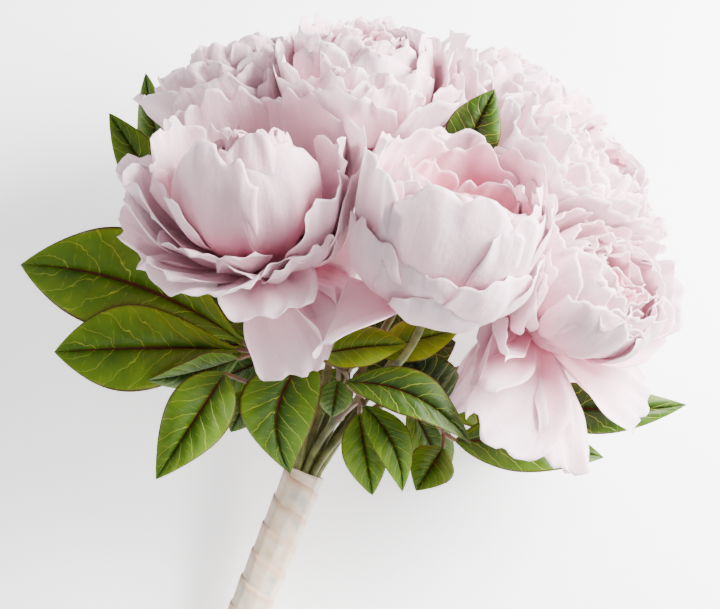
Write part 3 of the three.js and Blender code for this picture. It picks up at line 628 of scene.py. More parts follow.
@dataclass(frozen=True)
class LeafCloth:
    """Printed polyester with a soft coating: satin, paler printed veins, brown red rib and rim, and a
    green painted brighter on lit leaves and darker on leaves in shade.
    """

    shade: str = "#142A00"
    middle: str = "#2F4E00"
    light: str = "#5C7C00"
    sunlit: str = "#A3B400"
    vein: str = "#A9B830"
    rib: str = "#4E1E10"
    veins: float = 7.0
    sweep: float = 1.7
    twigs: float = 19.0
    twig_sweep: float = 0.9
    print_strength: float = 0.7
    rib_end: float = 1.25
    ground_tone: float = 0.12
    rim_light: float = 0.3
    mottle: float = 0.3
    light_and_tone_share: float = 0.3
    weave_mm: float = 0.8
    glow_mm: float = 1.0

    def material(self) -> bpy.types.Material:
        """Builds the leaf cloth.

        Returns:
            The material.
        """
        made, add = new_material("leaf_cloth_coated_polyester")
        chart = add("ShaderNodeUVMap", uv_map="leaf")
        cloth = add("ShaderNodeUVMap", uv_map="cloth")
        # Each leaf's own tone and painted light, carried in the blush attribute
        light_and_tone = add("ShaderNodeAttribute", attribute_name="blush").outputs["Fac"]
        split = add("ShaderNodeSeparateXYZ", {"Vector": chart})
        centred = add("ShaderNodeMath", {
            0: split.outputs["X"], 1: 2.0, 2: -1.0}, operation="MULTIPLY_ADD")
        off = add("ShaderNodeMath", {0: centred}, operation="ABSOLUTE")
        wander = add("ShaderNodeTexNoise", {"Vector": cloth, "Scale": 0.09, "Detail": 3.0})
        # Side veins leave the rib and sweep towards the tip, and finer twigs run between them
        combs = []
        for number, sweep, width, strength in (
                (self.veins, self.sweep, 0.045, 1.0), (self.twigs, self.twig_sweep, 0.09, 0.35)):
            swept = add("ShaderNodeMath", {0: off, 1: -sweep, 2: wander}, operation="MULTIPLY_ADD")
            phase = add("ShaderNodeMath", {
                0: split.outputs["Y"], 1: number, 2: swept}, operation="MULTIPLY_ADD")
            comb = add("ShaderNodeMath", {0: phase, 1: 0.5}, operation="PINGPONG")
            combs.append(add("ShaderNodeMapRange", {
                "Value": comb, "From Max": width, "To Min": strength, "To Max": 0.0},
                interpolation_type="SMOOTHSTEP"))
        # The twigs break off where the cloth was printed thinly
        thin = add("ShaderNodeTexNoise", {"Vector": cloth, "Scale": 0.25, "Detail": 1.0})
        broken = add("ShaderNodeMapRange", {
            "Value": thin, "From Min": 0.45, "From Max": 0.6}, interpolation_type="SMOOTHSTEP")
        twigs = add("ShaderNodeMath", {0: combs[1], 1: broken}, operation="MULTIPLY")
        printed = add("ShaderNodeMath", {0: combs[0], 1: twigs}, operation="MAXIMUM")
        # Ground: darkest beside the rib, lighter near the rim, yellower by tone and painted light
        ground = self.ground_tone
        for share, source in ((self.rim_light, off), (self.mottle, wander), (self.light_and_tone_share, light_and_tone)):
            ground = add("ShaderNodeMath", {0: source, 1: share, 2: ground}, operation="MULTIPLY_ADD")
        green = add("ShaderNodeValToRGB", {"Fac": ground}, ramp=[
            (0.1, self.shade), (0.35, self.middle), (0.65, self.light), (1.0, self.sunlit)])
        faded = add("ShaderNodeMath", {0: printed, 1: self.print_strength}, operation="MULTIPLY")
        veined = add("ShaderNodeMix", {0: faded, 6: green, 7: linear(self.vein)}, data_type="RGBA")
        # The rib is widest at the base
        left = add("ShaderNodeMath", {0: self.rib_end, 1: split.outputs["Y"]}, operation="SUBTRACT")
        beside = add("ShaderNodeMath", {0: off, 1: left}, operation="DIVIDE")
        rib = add("ShaderNodeMapRange", {
            "Value": beside, "From Min": 0.03, "From Max": 0.085, "To Min": 0.95, "To Max": 0.0},
            interpolation_type="SMOOTHSTEP")
        rim = add("ShaderNodeMapRange", {
            "Value": off, "From Min": 0.93, "From Max": 0.98, "To Min": 0.0, "To Max": 0.85},
            interpolation_type="SMOOTHSTEP")
        brown = add("ShaderNodeMath", {0: rib, 1: rim}, operation="MAXIMUM")
        edged = add("ShaderNodeMix", {0: brown, 6: veined, 7: linear(self.rib)}, data_type="RGBA")
        # The weave is about 0.3 mm, drawn coarser so that it shows
        threads = add("ShaderNodeTexNoise", {"Vector": cloth, "Scale": 1 / self.weave_mm})
        pressed = add("ShaderNodeBump", {
            "Strength": 0.5, "Distance": 0.5 * MM, "Height": printed}, invert=True)
        woven = add("ShaderNodeBump", {
            "Strength": 0.2, "Distance": 0.15 * MM, "Height": threads, "Normal": pressed})
        shader = add("ShaderNodeBsdfPrincipled", {
            "Base Color": edged, "Normal": woven, "Roughness": 0.5, "Specular IOR Level": 0.28,
            "Subsurface Weight": 0.06, "Subsurface Scale": self.glow_mm * MM})
        add("ShaderNodeOutputMaterial", {"Surface": shader})
        return made


@dataclass(frozen=True)
class MouldedStem:
    """Moulded polyethylene: a soft sheen, mottled from a deep to a paler tone."""

    name: str = "moulded_polyethylene_green"
    deep: str = "#3A3F0A"
    pale: str = "#76793A"
    mottle_mm: float = 9.0
    line_mm: float = 1.2

    def material(self) -> bpy.types.Material:
        """Builds the moulded plastic of stems, stalks or calyces.

        Returns:
            The material.
        """
        made, add = new_material(self.name)
        place = add("ShaderNodeTexCoord").outputs["Object"]
        mottle = add("ShaderNodeTexNoise", {
            "Vector": place, "Scale": 1 / (self.mottle_mm * MM), "Detail": 3.0})
        green = add("ShaderNodeValToRGB", {"Fac": mottle}, ramp=[(0.3, self.deep), (0.7, self.pale)])
        grain = add("ShaderNodeTexNoise", {
            "Vector": place, "Scale": 1 / (self.line_mm * MM), "Detail": 2.0})
        raised = add("ShaderNodeBump", {"Strength": 0.3, "Distance": 0.3 * MM, "Height": grain})
        shader = add("ShaderNodeBsdfPrincipled", {
            "Base Color": green, "Normal": raised, "Roughness": 0.5, "IOR": 1.5})
        add("ShaderNodeOutputMaterial", {"Surface": shader})
        return made


@dataclass(frozen=True)
class SatinRibbon:
    """Woven polyester satin: threads along the ribbon, a silky ivory sheen, and painted sheen in
    random cream, ivory and grey bands, with a peach band at each turn's upper edge.
    """

    ivory: str = "#E0CEB6"
    cream: str = "#CDAE88"
    silver: str = "#A9A89C"
    peach: str = "#D8AE8C"
    thread_mm: float = 0.9
    edge_sheen_mm: tuple[float, float] = (16.5, 19.0)

    def material(self) -> bpy.types.Material:
        """Builds the satin.

        Returns:
            The material.
        """
        made, add = new_material("woven_satin_ivory")
        chart = add("ShaderNodeUVMap", uv_map="cloth")
        split = add("ShaderNodeSeparateXYZ", {"Vector": chart})
        # Painted sheen: cream, ivory and grey bands along the ribbon stand in for the satin's sheen
        # changing with its angle
        sheen_drift = add("ShaderNodeTexNoise", {"Vector": chart, "Scale": 0.06, "Detail": 2.0})
        tone = add("ShaderNodeValToRGB", {"Fac": sheen_drift}, ramp=[
            (0.3, self.cream), (0.5, self.ivory), (0.7, self.silver)])
        # The edge that lies on top shows peach, a painted sheen band
        edge_sheen = add("ShaderNodeMapRange", {
            "Value": split.outputs["Y"], "From Min": self.edge_sheen_mm[0], "From Max": self.edge_sheen_mm[1],
            "To Min": 0.0, "To Max": 0.7}, interpolation_type="SMOOTHSTEP")
        edged = add("ShaderNodeMix", {0: edge_sheen, 6: tone, 7: linear(self.peach)}, data_type="RGBA")
        across = add("ShaderNodeMath", {
            0: split.outputs["Y"], 1: 2 * math.pi / self.thread_mm}, operation="MULTIPLY")
        threads = add("ShaderNodeMath", {0: across}, operation="SINE")
        creases = add("ShaderNodeTexNoise", {"Vector": chart, "Scale": 0.16, "Detail": 3.0})
        creased = add("ShaderNodeBump", {"Strength": 0.5, "Distance": 1.2 * MM, "Height": creases})
        woven = add("ShaderNodeBump", {
            "Strength": 0.12, "Distance": 0.1 * MM, "Height": threads, "Normal": creased})
        shader = add("ShaderNodeBsdfPrincipled", {
            "Base Color": edged, "Normal": woven, "Roughness": 0.33, "Specular IOR Level": 0.55,
            "Sheen Weight": 0.2})
        add("ShaderNodeOutputMaterial", {"Surface": shader})
        return made


@dataclass(frozen=True)
class PaintedTable:
    """A matt white light table: it glows a little, so that the ground stays pale under the bunch."""

    white: str = "#F8F8F8"
    glow: float = 1.35

    def material(self) -> bpy.types.Material:
        """Builds the table's paint, with a faint unevenness in its sheen.

        Returns:
            The material.
        """
        made, add = new_material("matt_white_paint")
        place = add("ShaderNodeTexCoord").outputs["Object"]
        patch = add("ShaderNodeTexNoise", {"Vector": place, "Scale": 3.0})
        sheen = add("ShaderNodeMapRange", {"Value": patch, "To Min": 0.75, "To Max": 0.85})
        shader = add("ShaderNodeBsdfPrincipled", {
            "Base Color": linear(self.white), "Roughness": sheen, "Specular IOR Level": 0.1,
            "Emission Color": linear(self.white), "Emission Strength": self.glow})
        add("ShaderNodeOutputMaterial", {"Surface": shader})
        return made


@dataclass(frozen=True)
class Finishes:
    """The finishes of the bunch, built once."""

    petals: bpy.types.Material
    leaves: bpy.types.Material
    stems: bpy.types.Material
    stalks: bpy.types.Material
    ribbon: bpy.types.Material


# Sheets and tubes


class ClothMesh:
    """Collects closed sheets of even thickness, with their charts and their blush, in one mesh."""

    def __init__(self, *charts: str) -> None:
        """Starts with no sheets.

        Args:
            charts: the names of the UV maps that every sheet fills.
        """
        self.charts = charts
        self.points: list[np.ndarray] = []
        self.faces: list[np.ndarray] = []
        self.places: dict[str, list[np.ndarray]] = {name: [] for name in charts}
        self.blush: list[np.ndarray] = []
        self.smooth: list[np.ndarray] = []
        self.count = 0

    def add(self, middle: np.ndarray, thickness: float, charts: Iterable[np.ndarray],
            blush: tuple[float, float] = (0.0, 0.0)) -> None:
        """Adds one sheet.

        Args:
            middle: points of its middle surface, row by row from root to tip, in plan millimetres.
            thickness: in millimetres.
            charts: for each UV map, a place for every point.
            blush: how far the colour of its upper and lower face lies towards the base's.
        """
        rows, columns = middle.shape[:2]
        across = np.gradient(middle, axis=1)
        along = np.gradient(middle, axis=0)
        normal = np.cross(across, along)
        normal /= np.maximum(np.linalg.norm(normal, axis=-1, keepdims=True), 1e-9)
        upper = middle + normal * thickness / 2
        lower = middle - normal * thickness / 2
        size = rows * columns
        names = np.arange(size).reshape(rows, columns) + self.count
        quads = [names[:-1, :-1], names[:-1, 1:], names[1:, 1:], names[1:, :-1]]
        top = np.stack(quads, axis=-1).reshape(-1, 4)
        rim = np.concatenate([names[0, :-1], names[:-1, -1], names[-1, :0:-1], names[:0:-1, 0]])
        following = np.roll(rim, -1)
        edge = np.stack([following, rim, rim + size, following + size], axis=-1)
        self.faces += [top, top[:, ::-1] + size, edge]
        self.smooth.append(np.repeat([True, False], [2 * len(top), len(edge)]))
        self.points += [upper.reshape(-1, 3), lower.reshape(-1, 3)]
        for name, chart in zip(self.charts, charts):
            flat = chart.reshape(-1, 2)
            self.places[name] += [flat, flat]
        self.blush.append(np.repeat(blush, size))
        self.count += 2 * size

    def build(self, name: str, material: bpy.types.Material) -> bpy.types.Object:
        """Makes the object, in the row's frame.

        Args:
            name: the piece's name.
            material: its finish.

        Returns:
            The new object, linked to the scene.
        """
        points = to_row(np.concatenate(self.points))
        faces = np.concatenate(self.faces).astype(np.int32)
        mesh = bpy.data.meshes.new(name)
        mesh.vertices.add(len(points))
        mesh.vertices.foreach_set("co", points.ravel())
        mesh.loops.add(faces.size)
        mesh.loops.foreach_set("vertex_index", faces.ravel())
        mesh.polygons.add(len(faces))
        mesh.polygons.foreach_set("loop_start", np.arange(0, faces.size, 4, dtype=np.int32))
        mesh.update(calc_edges=True)
        mesh.polygons.foreach_set("use_smooth", np.concatenate(self.smooth))
        for chart in self.charts:
            layer = mesh.uv_layers.new(name=chart)
            places = np.concatenate(self.places[chart])[faces.ravel()]
            layer.data.foreach_set("uv", places.ravel().astype(np.float32))
        tone = mesh.attributes.new("blush", "FLOAT", "POINT")
        tone.data.foreach_set("value", np.concatenate(self.blush).astype(np.float32))
        mesh.materials.append(material)
        mesh.validate()
        made = bpy.data.objects.new(name, mesh)
        bpy.context.scene.collection.objects.link(made)
        return made


@dataclass
class TubeMaker:
    """Moulded tubes along paths: Geometry Nodes sweep a round section whose size the path sets."""

    sides: int = 14
    swell: float = 1.0

    def __post_init__(self) -> None:
        """Builds the tree, with named inputs for the section's sides, its swelling and its finish."""
        self.tree = bpy.data.node_groups.new("moulded_tube", "GeometryNodeTree")
        self.sockets = {
            name: self.tree.interface.new_socket(name, in_out="INPUT", socket_type=f"NodeSocket{kind}")
            for name, kind in (
                ("Path", "Geometry"), ("Sides", "Int"), ("Swell", "Float"), ("Finish", "Material"))}
        self.tree.interface.new_socket("Tube", in_out="OUTPUT", socket_type="NodeSocketGeometry")
        add = partial(add_node, self.tree)
        given = add("NodeGroupInput").outputs
        section = add("GeometryNodeCurvePrimitiveCircle", {"Resolution": given["Sides"], "Radius": 1.0})
        size = add("ShaderNodeMath", {
            0: add("GeometryNodeInputRadius"), 1: given["Swell"]}, operation="MULTIPLY")
        swept = add("GeometryNodeCurveToMesh", {
            "Curve": given["Path"], "Profile Curve": section, "Scale": size, "Fill Caps": True})
        smooth = add("GeometryNodeSetShadeSmooth", {"Geometry": swept})
        real = add("GeometryNodeRealizeInstances", {"Geometry": smooth})
        dressed = add("GeometryNodeSetMaterial", {"Geometry": real, "Material": given["Finish"]})
        add("NodeGroupOutput", {"Tube": dressed})

    def sweep(self, name: str, paths: list[list[tuple[np.ndarray, float]]],
              finish: bpy.types.Material) -> bpy.types.Object:
        """Makes one piece of tubes.

        Args:
            name: the piece's name.
            paths: for each tube, its stations as plan points with radii, in millimetres.
            finish: its material.

        Returns:
            A plain mesh object, linked to the scene.
        """
        curve = bpy.data.curves.new(name + "_path", "CURVE")
        curve.dimensions = "3D"
        for path in paths:
            spline = curve.splines.new("POLY")
            spline.points.add(len(path) - 1)
            for point, (at, radius) in zip(spline.points, path):
                point.co = (*to_row(at), 1.0)
                point.radius = radius * MM
        carrier = bpy.data.objects.new(name + "_path", curve)
        bpy.context.scene.collection.objects.link(carrier)
        sweeper = carrier.modifiers.new("tube", "NODES")
        sweeper.node_group = self.tree
        for socket, value in (("Sides", self.sides), ("Swell", self.swell), ("Finish", finish)):
            sweeper[self.sockets[socket].identifier] = value
        graph = bpy.context.evaluated_depsgraph_get()
        mesh = bpy.data.meshes.new_from_object(carrier.evaluated_get(graph), depsgraph=graph)
        mesh.name = name
        for corner in mesh.vertices:
            corner.co.z = max(corner.co.z, 0.0)
        bpy.data.objects.remove(carrier)
        bpy.data.curves.remove(curve)
        made = bpy.data.objects.new(name, mesh)
        bpy.context.scene.collection.objects.link(made)
        return made


def settle(piece: bpy.types.Object, slot: Slot, node: str) -> None:
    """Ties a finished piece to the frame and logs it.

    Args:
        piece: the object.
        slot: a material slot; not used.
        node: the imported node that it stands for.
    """
    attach(piece, "root")
    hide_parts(node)
    LOG.info("%s: %d faces, stands for %s", piece.name, len(piece.data.polygons), node)


# Blooms


@dataclass(frozen=True)
class Plane:
    """A plane that a bloom keeps behind: its normal, its reach along that, and how softly."""

    normal: np.ndarray
    reach: float
    squeeze: float


SURFACE = Plane(
    np.array([0.0, math.cos(AXIS_LEAN), -math.sin(AXIS_LEAN)]), BINDING_AT[2], SURFACE_SQUEEZE)


def keep_behind(points: np.ndarray, planes: Iterable[Plane],
                margin: float = CELL_MARGIN) -> np.ndarray:
    """Eases points back behind each plane, so that layers keep their order.

    Args:
        points: plan points, changed in place.
        planes: the planes.
        margin: how far short of each plane they stay.

    Returns:
        The same array.
    """
    for plane in planes:
        past = points @ plane.normal - plane.reach + margin + plane.squeeze
        eased = plane.squeeze * (1.0 - np.exp(-np.maximum(past, 0.0) / plane.squeeze))
        points += np.where(past > 0, eased - past, 0.0)[..., None] * plane.normal
    return points


@dataclass(frozen=True)
class Wave:
    """A ripple in a petal: its size, how fast it runs across and up, and how its phase counts."""

    size: float
    across: float
    up: float
    shift: float

    def at(self, u: np.ndarray, v: np.ndarray | float, phase: float) -> np.ndarray:
        """Its height at places across and up the petal."""
        return self.size * np.sin(self.across * u + self.up * v + self.shift * phase)


# Scallops run along a petal's cut edge, and the other waves lift its tip, middle and edges.
# A buckle is a wave up the petal that comes and goes across it.
SCALLOPS = (Wave(0.03, 9.0, 0.0, 3.0), Wave(0.015, 17.0, 0.0, 1.0))
TIP_WAVE = Wave(1.0, 1.6 * math.pi, 0.0, 1.0)
MIDDLE_WAVES = (Wave(0.75, 5.5, 1.2, 1.7), Wave(0.35, 12.0, -3.5, 2.9))
EDGE_WAVES = (Wave(1.0, 7.0, 5.0, 2.3), Wave(0.6, 15.0, 9.0, 1.0))
BUCKLE = Wave(0.3, 0.0, 8.0, 1.3)
BUCKLE_ACROSS = 6.0
BUCKLE_SHIFT = 4.0


@dataclass(frozen=True)
class Bloom:
    """A peony: rings of cloth petals round a dense heart, kept to its own space.

    Its sizes are shares of its radius or of a petal's length, its unrest is in degrees, and the
    heart's wall is in millimetres.
    """

    plan: BloomPlan
    order: int
    core_share: float = 0.34
    core_wall: float = 0.6
    # The heart and the petals' inner faces are pinker: partly dye, partly painted glow of light bounced
    # inside the bloom
    core_blush: float = 0.4
    inner_flush: float = 0.35
    blush_unrest: float = 0.06
    turn_unrest: float = 9.0
    lean_unrest: float = 4.0
    tip_unrest: float = 120.0
    waist: float = 0.2
    widest_at: float = 0.72
    narrowing: float = 0.1
    hub: float = 0.42
    corner: float = 0.2
    lobe: float = 0.04
    notch: float = 0.1
    notch_width: float = 0.15
    fine_grid: tuple[int, int] = (26, 24)
    plain_grid: tuple[int, int] = (16, 15)
    core_grid: tuple[int, int] = (12, 24)

    def plane_towards(self, other: BloomPlan) -> Plane:
        """The plane between this bloom and another, shared out by their radii.

        Args:
            other: the neighbour's plan.

        Returns:
            The plane, facing the neighbour.
        """
        here, there = np.array(self.plan.at, dtype=float), np.array(other.at, dtype=float)
        apart = np.linalg.norm(there - here)
        balance = there @ there - here @ here - other.radius**2 + self.plan.radius**2
        return Plane((there - here) / apart, balance / (2 * apart), CELL_SQUEEZE)

    def petals(self) -> list[Petal]:
        """All its petals.

        Returns:
            Those of the rings, less the bare stretch of the outer ones, and then the loose ones.
        """
        plan = self.plan
        towards, *shares = plan.tall
        made = []
        for layer, ring in enumerate(RINGS[plan.habit]):
            share = shares[layer >= OUTER_RINGS]
            for k in range(ring.count):
                azimuth = plan.turn + 360.0 * (k + 0.5 * layer) / ring.count
                if layer < OUTER_RINGS and plan.bare:
                    if (azimuth - plan.bare[0]) % 360.0 <= plan.bare[1] - plan.bare[0]:
                        continue
                if layer:
                    azimuth += self.turn_unrest * scatter(self.order * 7 + layer, k)
                longer = share * math.cos(math.radians(azimuth - towards))
                lean = self.lean_unrest * scatter(layer, self.order + k)
                made.append(Petal(
                    azimuth, ring.length * (1.0 + longer), ring.width, ring.angles, ring.root,
                    ring.rise, ring.cup, ring.tuck, ring.ruffle, ring.frill, ring.blush,
                    ring.jitter, lean))
        return made + list(plan.loose)

    def profile(self, petal: Petal, seed: int) -> tuple[np.ndarray, np.ndarray, np.ndarray]:
        """The middle line of a petal, from root to tip.

        Args:
            petal: its form.
            seed: its own number.

        Returns:
            Its distance from the bloom's axis, its height along the axis, and its slope.
        """
        size = self.plan.radius
        step = petal.length * size * (1.0 + petal.jitter * scatter(seed, 1)) / LINE_STEPS
        first, second, third = (math.radians(a) for a in petal.angles)
        third += math.radians(self.tip_unrest * petal.jitter * scatter(seed, 4))
        share = np.linspace(0.0, 1.0, LINE_STEPS + 1)
        angle = (1 - share) ** 2 * first + 2 * (1 - share) * share * second + share**2 * third
        mid = (angle[1:] + angle[:-1]) / 2
        radius = petal.root * size + step * np.concatenate([[0.0], np.cumsum(np.sin(mid))])
        height = petal.rise * size + step * np.concatenate([[0.0], np.cumsum(np.cos(mid))])
        return radius, height, angle

    def cut(self, seed: int, phase: float, u: np.ndarray) -> np.ndarray:
        """The outline that a petal is cut to: rounded, lobed, notched and scalloped.

        Args:
            seed: its own number.
            phase: where its scallops start, as an angle.
            u: places across it, from -1 to 1.

        Returns:
            How far up the petal its cloth reaches at each place, as a share of its length.
        """
        lobes = self.lobe * scatter(seed, 3) * np.cos(2 * np.pi * u)
        dip = np.exp(-(((u - 0.5 * scatter(seed, 5)) / self.notch_width) ** 2))
        notch = self.notch * dip * (0.6 + 0.4 * scatter(seed, 6))
        scallops = sum(wave.at(u, 0.0, phase) for wave in SCALLOPS)
        return 1.0 - self.corner * np.abs(u) ** 2.4 + lobes - notch + scallops

    @staticmethod
    def ripples(petal: Petal, phase: float, u: np.ndarray, v: np.ndarray) -> np.ndarray:
        """How far the cloth lifts off the petal's plain form.

        Args:
            petal: its form.
            phase: where its ripples start, as an angle.
            u: places across it, from -1 to 1.
            v: places up it, from 0 to 1.

        Returns:
            The lift at each place, in millimetres.
        """
        edge = np.maximum(v**4, np.abs(u) ** 4 * v)
        come_and_go = np.cos(BUCKLE_ACROSS * u + BUCKLE_SHIFT * phase)
        lift = petal.ruffle * v**2 * TIP_WAVE.at(u, v, phase) - petal.tuck * u
        lift += petal.frill * edge * sum(wave.at(u, v, phase) for wave in EDGE_WAVES)
        lift += petal.ruffle * np.sin(np.pi * v) * sum(wave.at(u, v, phase) for wave in MIDDLE_WAVES)
        lift += petal.ruffle * v * BUCKLE.at(u, v, phase) * come_and_go
        return lift

    def middle_surface(self, petal: Petal, seed: int, u: np.ndarray, v: np.ndarray) -> np.ndarray:
        """Points of a petal's middle surface, before it is kept to the bloom's space.

        Args:
            petal: its form.
            seed: its own number.
            u: places across it, from -1 to 1.
            v: places up it, from 0 to 1.

        Returns:
            A plan point for each place.
        """
        out, down, right = self.plan.axes
        azimuth = math.radians(petal.azimuth)
        outward = down * math.cos(azimuth) + right * math.sin(azimuth)
        phase = math.pi * scatter(seed, 2)
        place = np.clip(v * self.cut(seed, phase, u), 0.0, 1.0)
        share = np.linspace(0.0, 1.0, LINE_STEPS + 1)
        radius, height, angle = (np.interp(place, share, line) for line in self.profile(petal, seed))
        opened = np.sin(np.minimum(v / self.widest_at, 1.0) * np.pi / 2)
        spread = self.waist + (1.0 - self.waist) * opened
        spread -= self.narrowing * np.maximum(v - self.widest_at, 0.0)
        bend = petal.cup * np.hypot(np.maximum(radius, 0.0), self.hub * self.plan.radius)
        turn = u * spread * petal.width * self.plan.radius / 2 / bend
        normal = np.cos(angle)[..., None] * outward - np.sin(angle)[..., None] * out
        lift = bend * (np.cos(turn) - 1.0) + self.ripples(petal, phase, u, v)
        aside = bend * np.sin(turn) + petal.lean * v**2
        points = self.plan.seat + radius[..., None] * outward + height[..., None] * out
        return points + lift[..., None] * normal + aside[..., None] * np.cross(out, outward)

    def core(self, cloth: ClothMesh) -> None:
        """Adds the closed heart that the petals are gathered on.

        Args:
            cloth: the bloom's mesh.
        """
        out, down, right = self.plan.axes
        radius = self.core_share * self.plan.radius
        rows, columns = self.core_grid
        turn, rise = np.meshgrid(
            np.linspace(0, 2 * np.pi, columns + 1), np.linspace(0.02, np.pi - 0.02, rows + 1))
        around = np.cos(turn)[..., None] * down + np.sin(turn)[..., None] * right
        ball = np.sin(rise)[..., None] * around - np.cos(rise)[..., None] * out
        chart = np.stack([turn / (2 * np.pi), np.full_like(turn, 0.3)], axis=-1)
        blush = (self.core_blush, self.core_blush)
        cloth.add(self.plan.seat + radius * (out + ball), self.core_wall, [chart], blush)

    def build(self, others: Iterable[BloomPlan], finish: bpy.types.Material) -> None:
        """Makes the bloom in place of its node.

        Args:
            others: the plans of its neighbours.
            finish: the petal cloth.
        """
        planes = [self.plane_towards(other) for other in others if other is not self.plan]
        planes.append(SURFACE)
        u, v = grid(*(self.fine_grid if self.plan.fine else self.plain_grid))
        chart = np.stack([(u + 1) / 2, v], axis=-1)
        cloth = ClothMesh("petal")
        self.core(cloth)
        for k, petal in enumerate(self.petals()):
            seed = self.order * SEEDS_PER_BLOOM + k
            middle = keep_behind(self.middle_surface(petal, seed, u, v), planes)
            blush = petal.blush + self.blush_unrest * scatter(seed, 7)
            cloth.add(middle, CLOTH_THICKNESS, [chart], (blush, blush + self.inner_flush))
        piece = cloth.build(f"peony_{self.plan.name}", finish)
        settle(piece, Slot.PETALS, f"bloom_{self.plan.name}")


# Stems and fronds


@dataclass(frozen=True)
class StemCurve:
    """The curve that a stem follows from the handle to its bloom.

    Fan is how far it leans out for each place it stands off the middle, and the pulls are how
    far its control points stand off its ends, as shares of its reach.
    """

    plan: BloomPlan
    fan: float = 0.12
    foot_pull: float = 0.38
    top_pull: float = 0.36

    def slot_point(self, z: float) -> np.ndarray:
        """Where the stem runs in the handle, at a height along it."""
        return np.array([self.plan.slot[0] * STEM_PITCH, self.plan.slot[1] * ROW_PITCH, z])

    @property
    def points(self) -> tuple[np.ndarray, np.ndarray, np.ndarray, np.ndarray]:
        """Its four control points.

        Returns:
            Its start over the handle, its two pulls, and its end in the calyx.
        """
        out = self.plan.axes[0]
        start = self.slot_point(STRAIGHT_TOP)
        top = self.plan.seat - out * (CALYX_GAP + CALYX_DEPTH * 0.5)
        reach = np.linalg.norm(top - start)
        leaning = np.array([self.fan * self.plan.slot[0], self.fan * self.plan.slot[1], 1.0])
        return start, start + leaning * self.foot_pull * reach, top - out * self.top_pull * reach, top

    def at(self, share: float) -> np.ndarray:
        """The point at a share of the curve."""
        return bezier(self.points, share)

    def along(self, share: float) -> np.ndarray:
        """The direction of the curve at a share of it."""
        return unit(self.at(min(share + 0.01, 1.0)) - self.at(max(share - 0.01, 0.0)))


@dataclass(frozen=True)
class Stem:
    """A moulded stem with joint swellings, and the calyx that its bloom sits in."""

    plan: BloomPlan
    foot: float = -137.0
    foot_share: float = 0.93
    foot_round: float = 0.3
    steps: int = 60
    joint_length: float = 1.1
    calyx_radius: float = 9.6
    calyx_neck: float = 3.0
    calyx_wall: float = 0.7
    calyx_sink: float = 0.4
    sepals: int = 5
    sepal_depth: float = 0.18

    def stations(self) -> list[tuple[np.ndarray, float]]:
        """The stem's line, thicker at its joints.

        Returns:
            Points from foot to bloom, each with its radius.
        """
        curve = StemCurve(self.plan)
        joints = {frond.joint for frond in FRONDS if frond.stem == self.plan.name} | {FIRST_JOINT}
        foot = curve.slot_point(self.foot)
        made = [(foot, STEM_RADIUS * self.foot_share), (foot + [0, 0, self.foot_round], STEM_RADIUS)]
        reach = np.linalg.norm(curve.points[-1] - curve.points[0])
        for k in range(self.steps + 1):
            share = k / self.steps
            radius = STEM_RADIUS
            for joint in joints:
                off = abs(share - joint / JOINT_STEPS) * reach
                radius += (JOINT_RADIUS - STEM_RADIUS) * math.exp(-((off / self.joint_length) ** 4))
            made.append((curve.at(share), radius))
        return made

    def calyx(self, cloth: ClothMesh) -> None:
        """Adds the cup under the bloom and its pointed sepals.

        Args:
            cloth: the calyx's mesh.
        """
        out = self.plan.axes[0]
        side = unit(np.cross(out, [0.3, 1.0, 0.2]))
        front = np.cross(out, side)
        turn, share = np.meshgrid(np.linspace(0, 2 * np.pi, 31), np.linspace(0.0, 1.0, 8))
        pull = 1.0 - self.sepal_depth * (1.0 - np.cos(self.sepals * turn))
        opened = (self.calyx_radius - self.calyx_neck) * np.sin(share * np.pi / 2)
        radius = (self.calyx_neck + opened) * (1 - share + share * pull)
        around = np.cos(turn)[..., None] * side + np.sin(turn)[..., None] * front
        sunk = CALYX_GAP + self.calyx_sink + (1 - share) * CALYX_DEPTH
        points = self.plan.seat - out * sunk[..., None] + radius[..., None] * around
        cloth.add(points, self.calyx_wall, [np.stack([turn, share], axis=-1)])

    def build(self, tubes: TubeMaker, finish: bpy.types.Material) -> None:
        """Makes the stem and calyx in place of their node.

        Args:
            tubes: what sweeps the stem.
            finish: the moulded plastic.
        """
        node = f"stem_{self.plan.name}"
        settle(tubes.sweep(f"moulded_{node}", [self.stations()], finish), Slot.STEMS, node)
        cloth = ClothMesh("wrap")
        self.calyx(cloth)
        settle(cloth.build(f"calyx_{self.plan.name}", finish), Slot.STEMS, node)


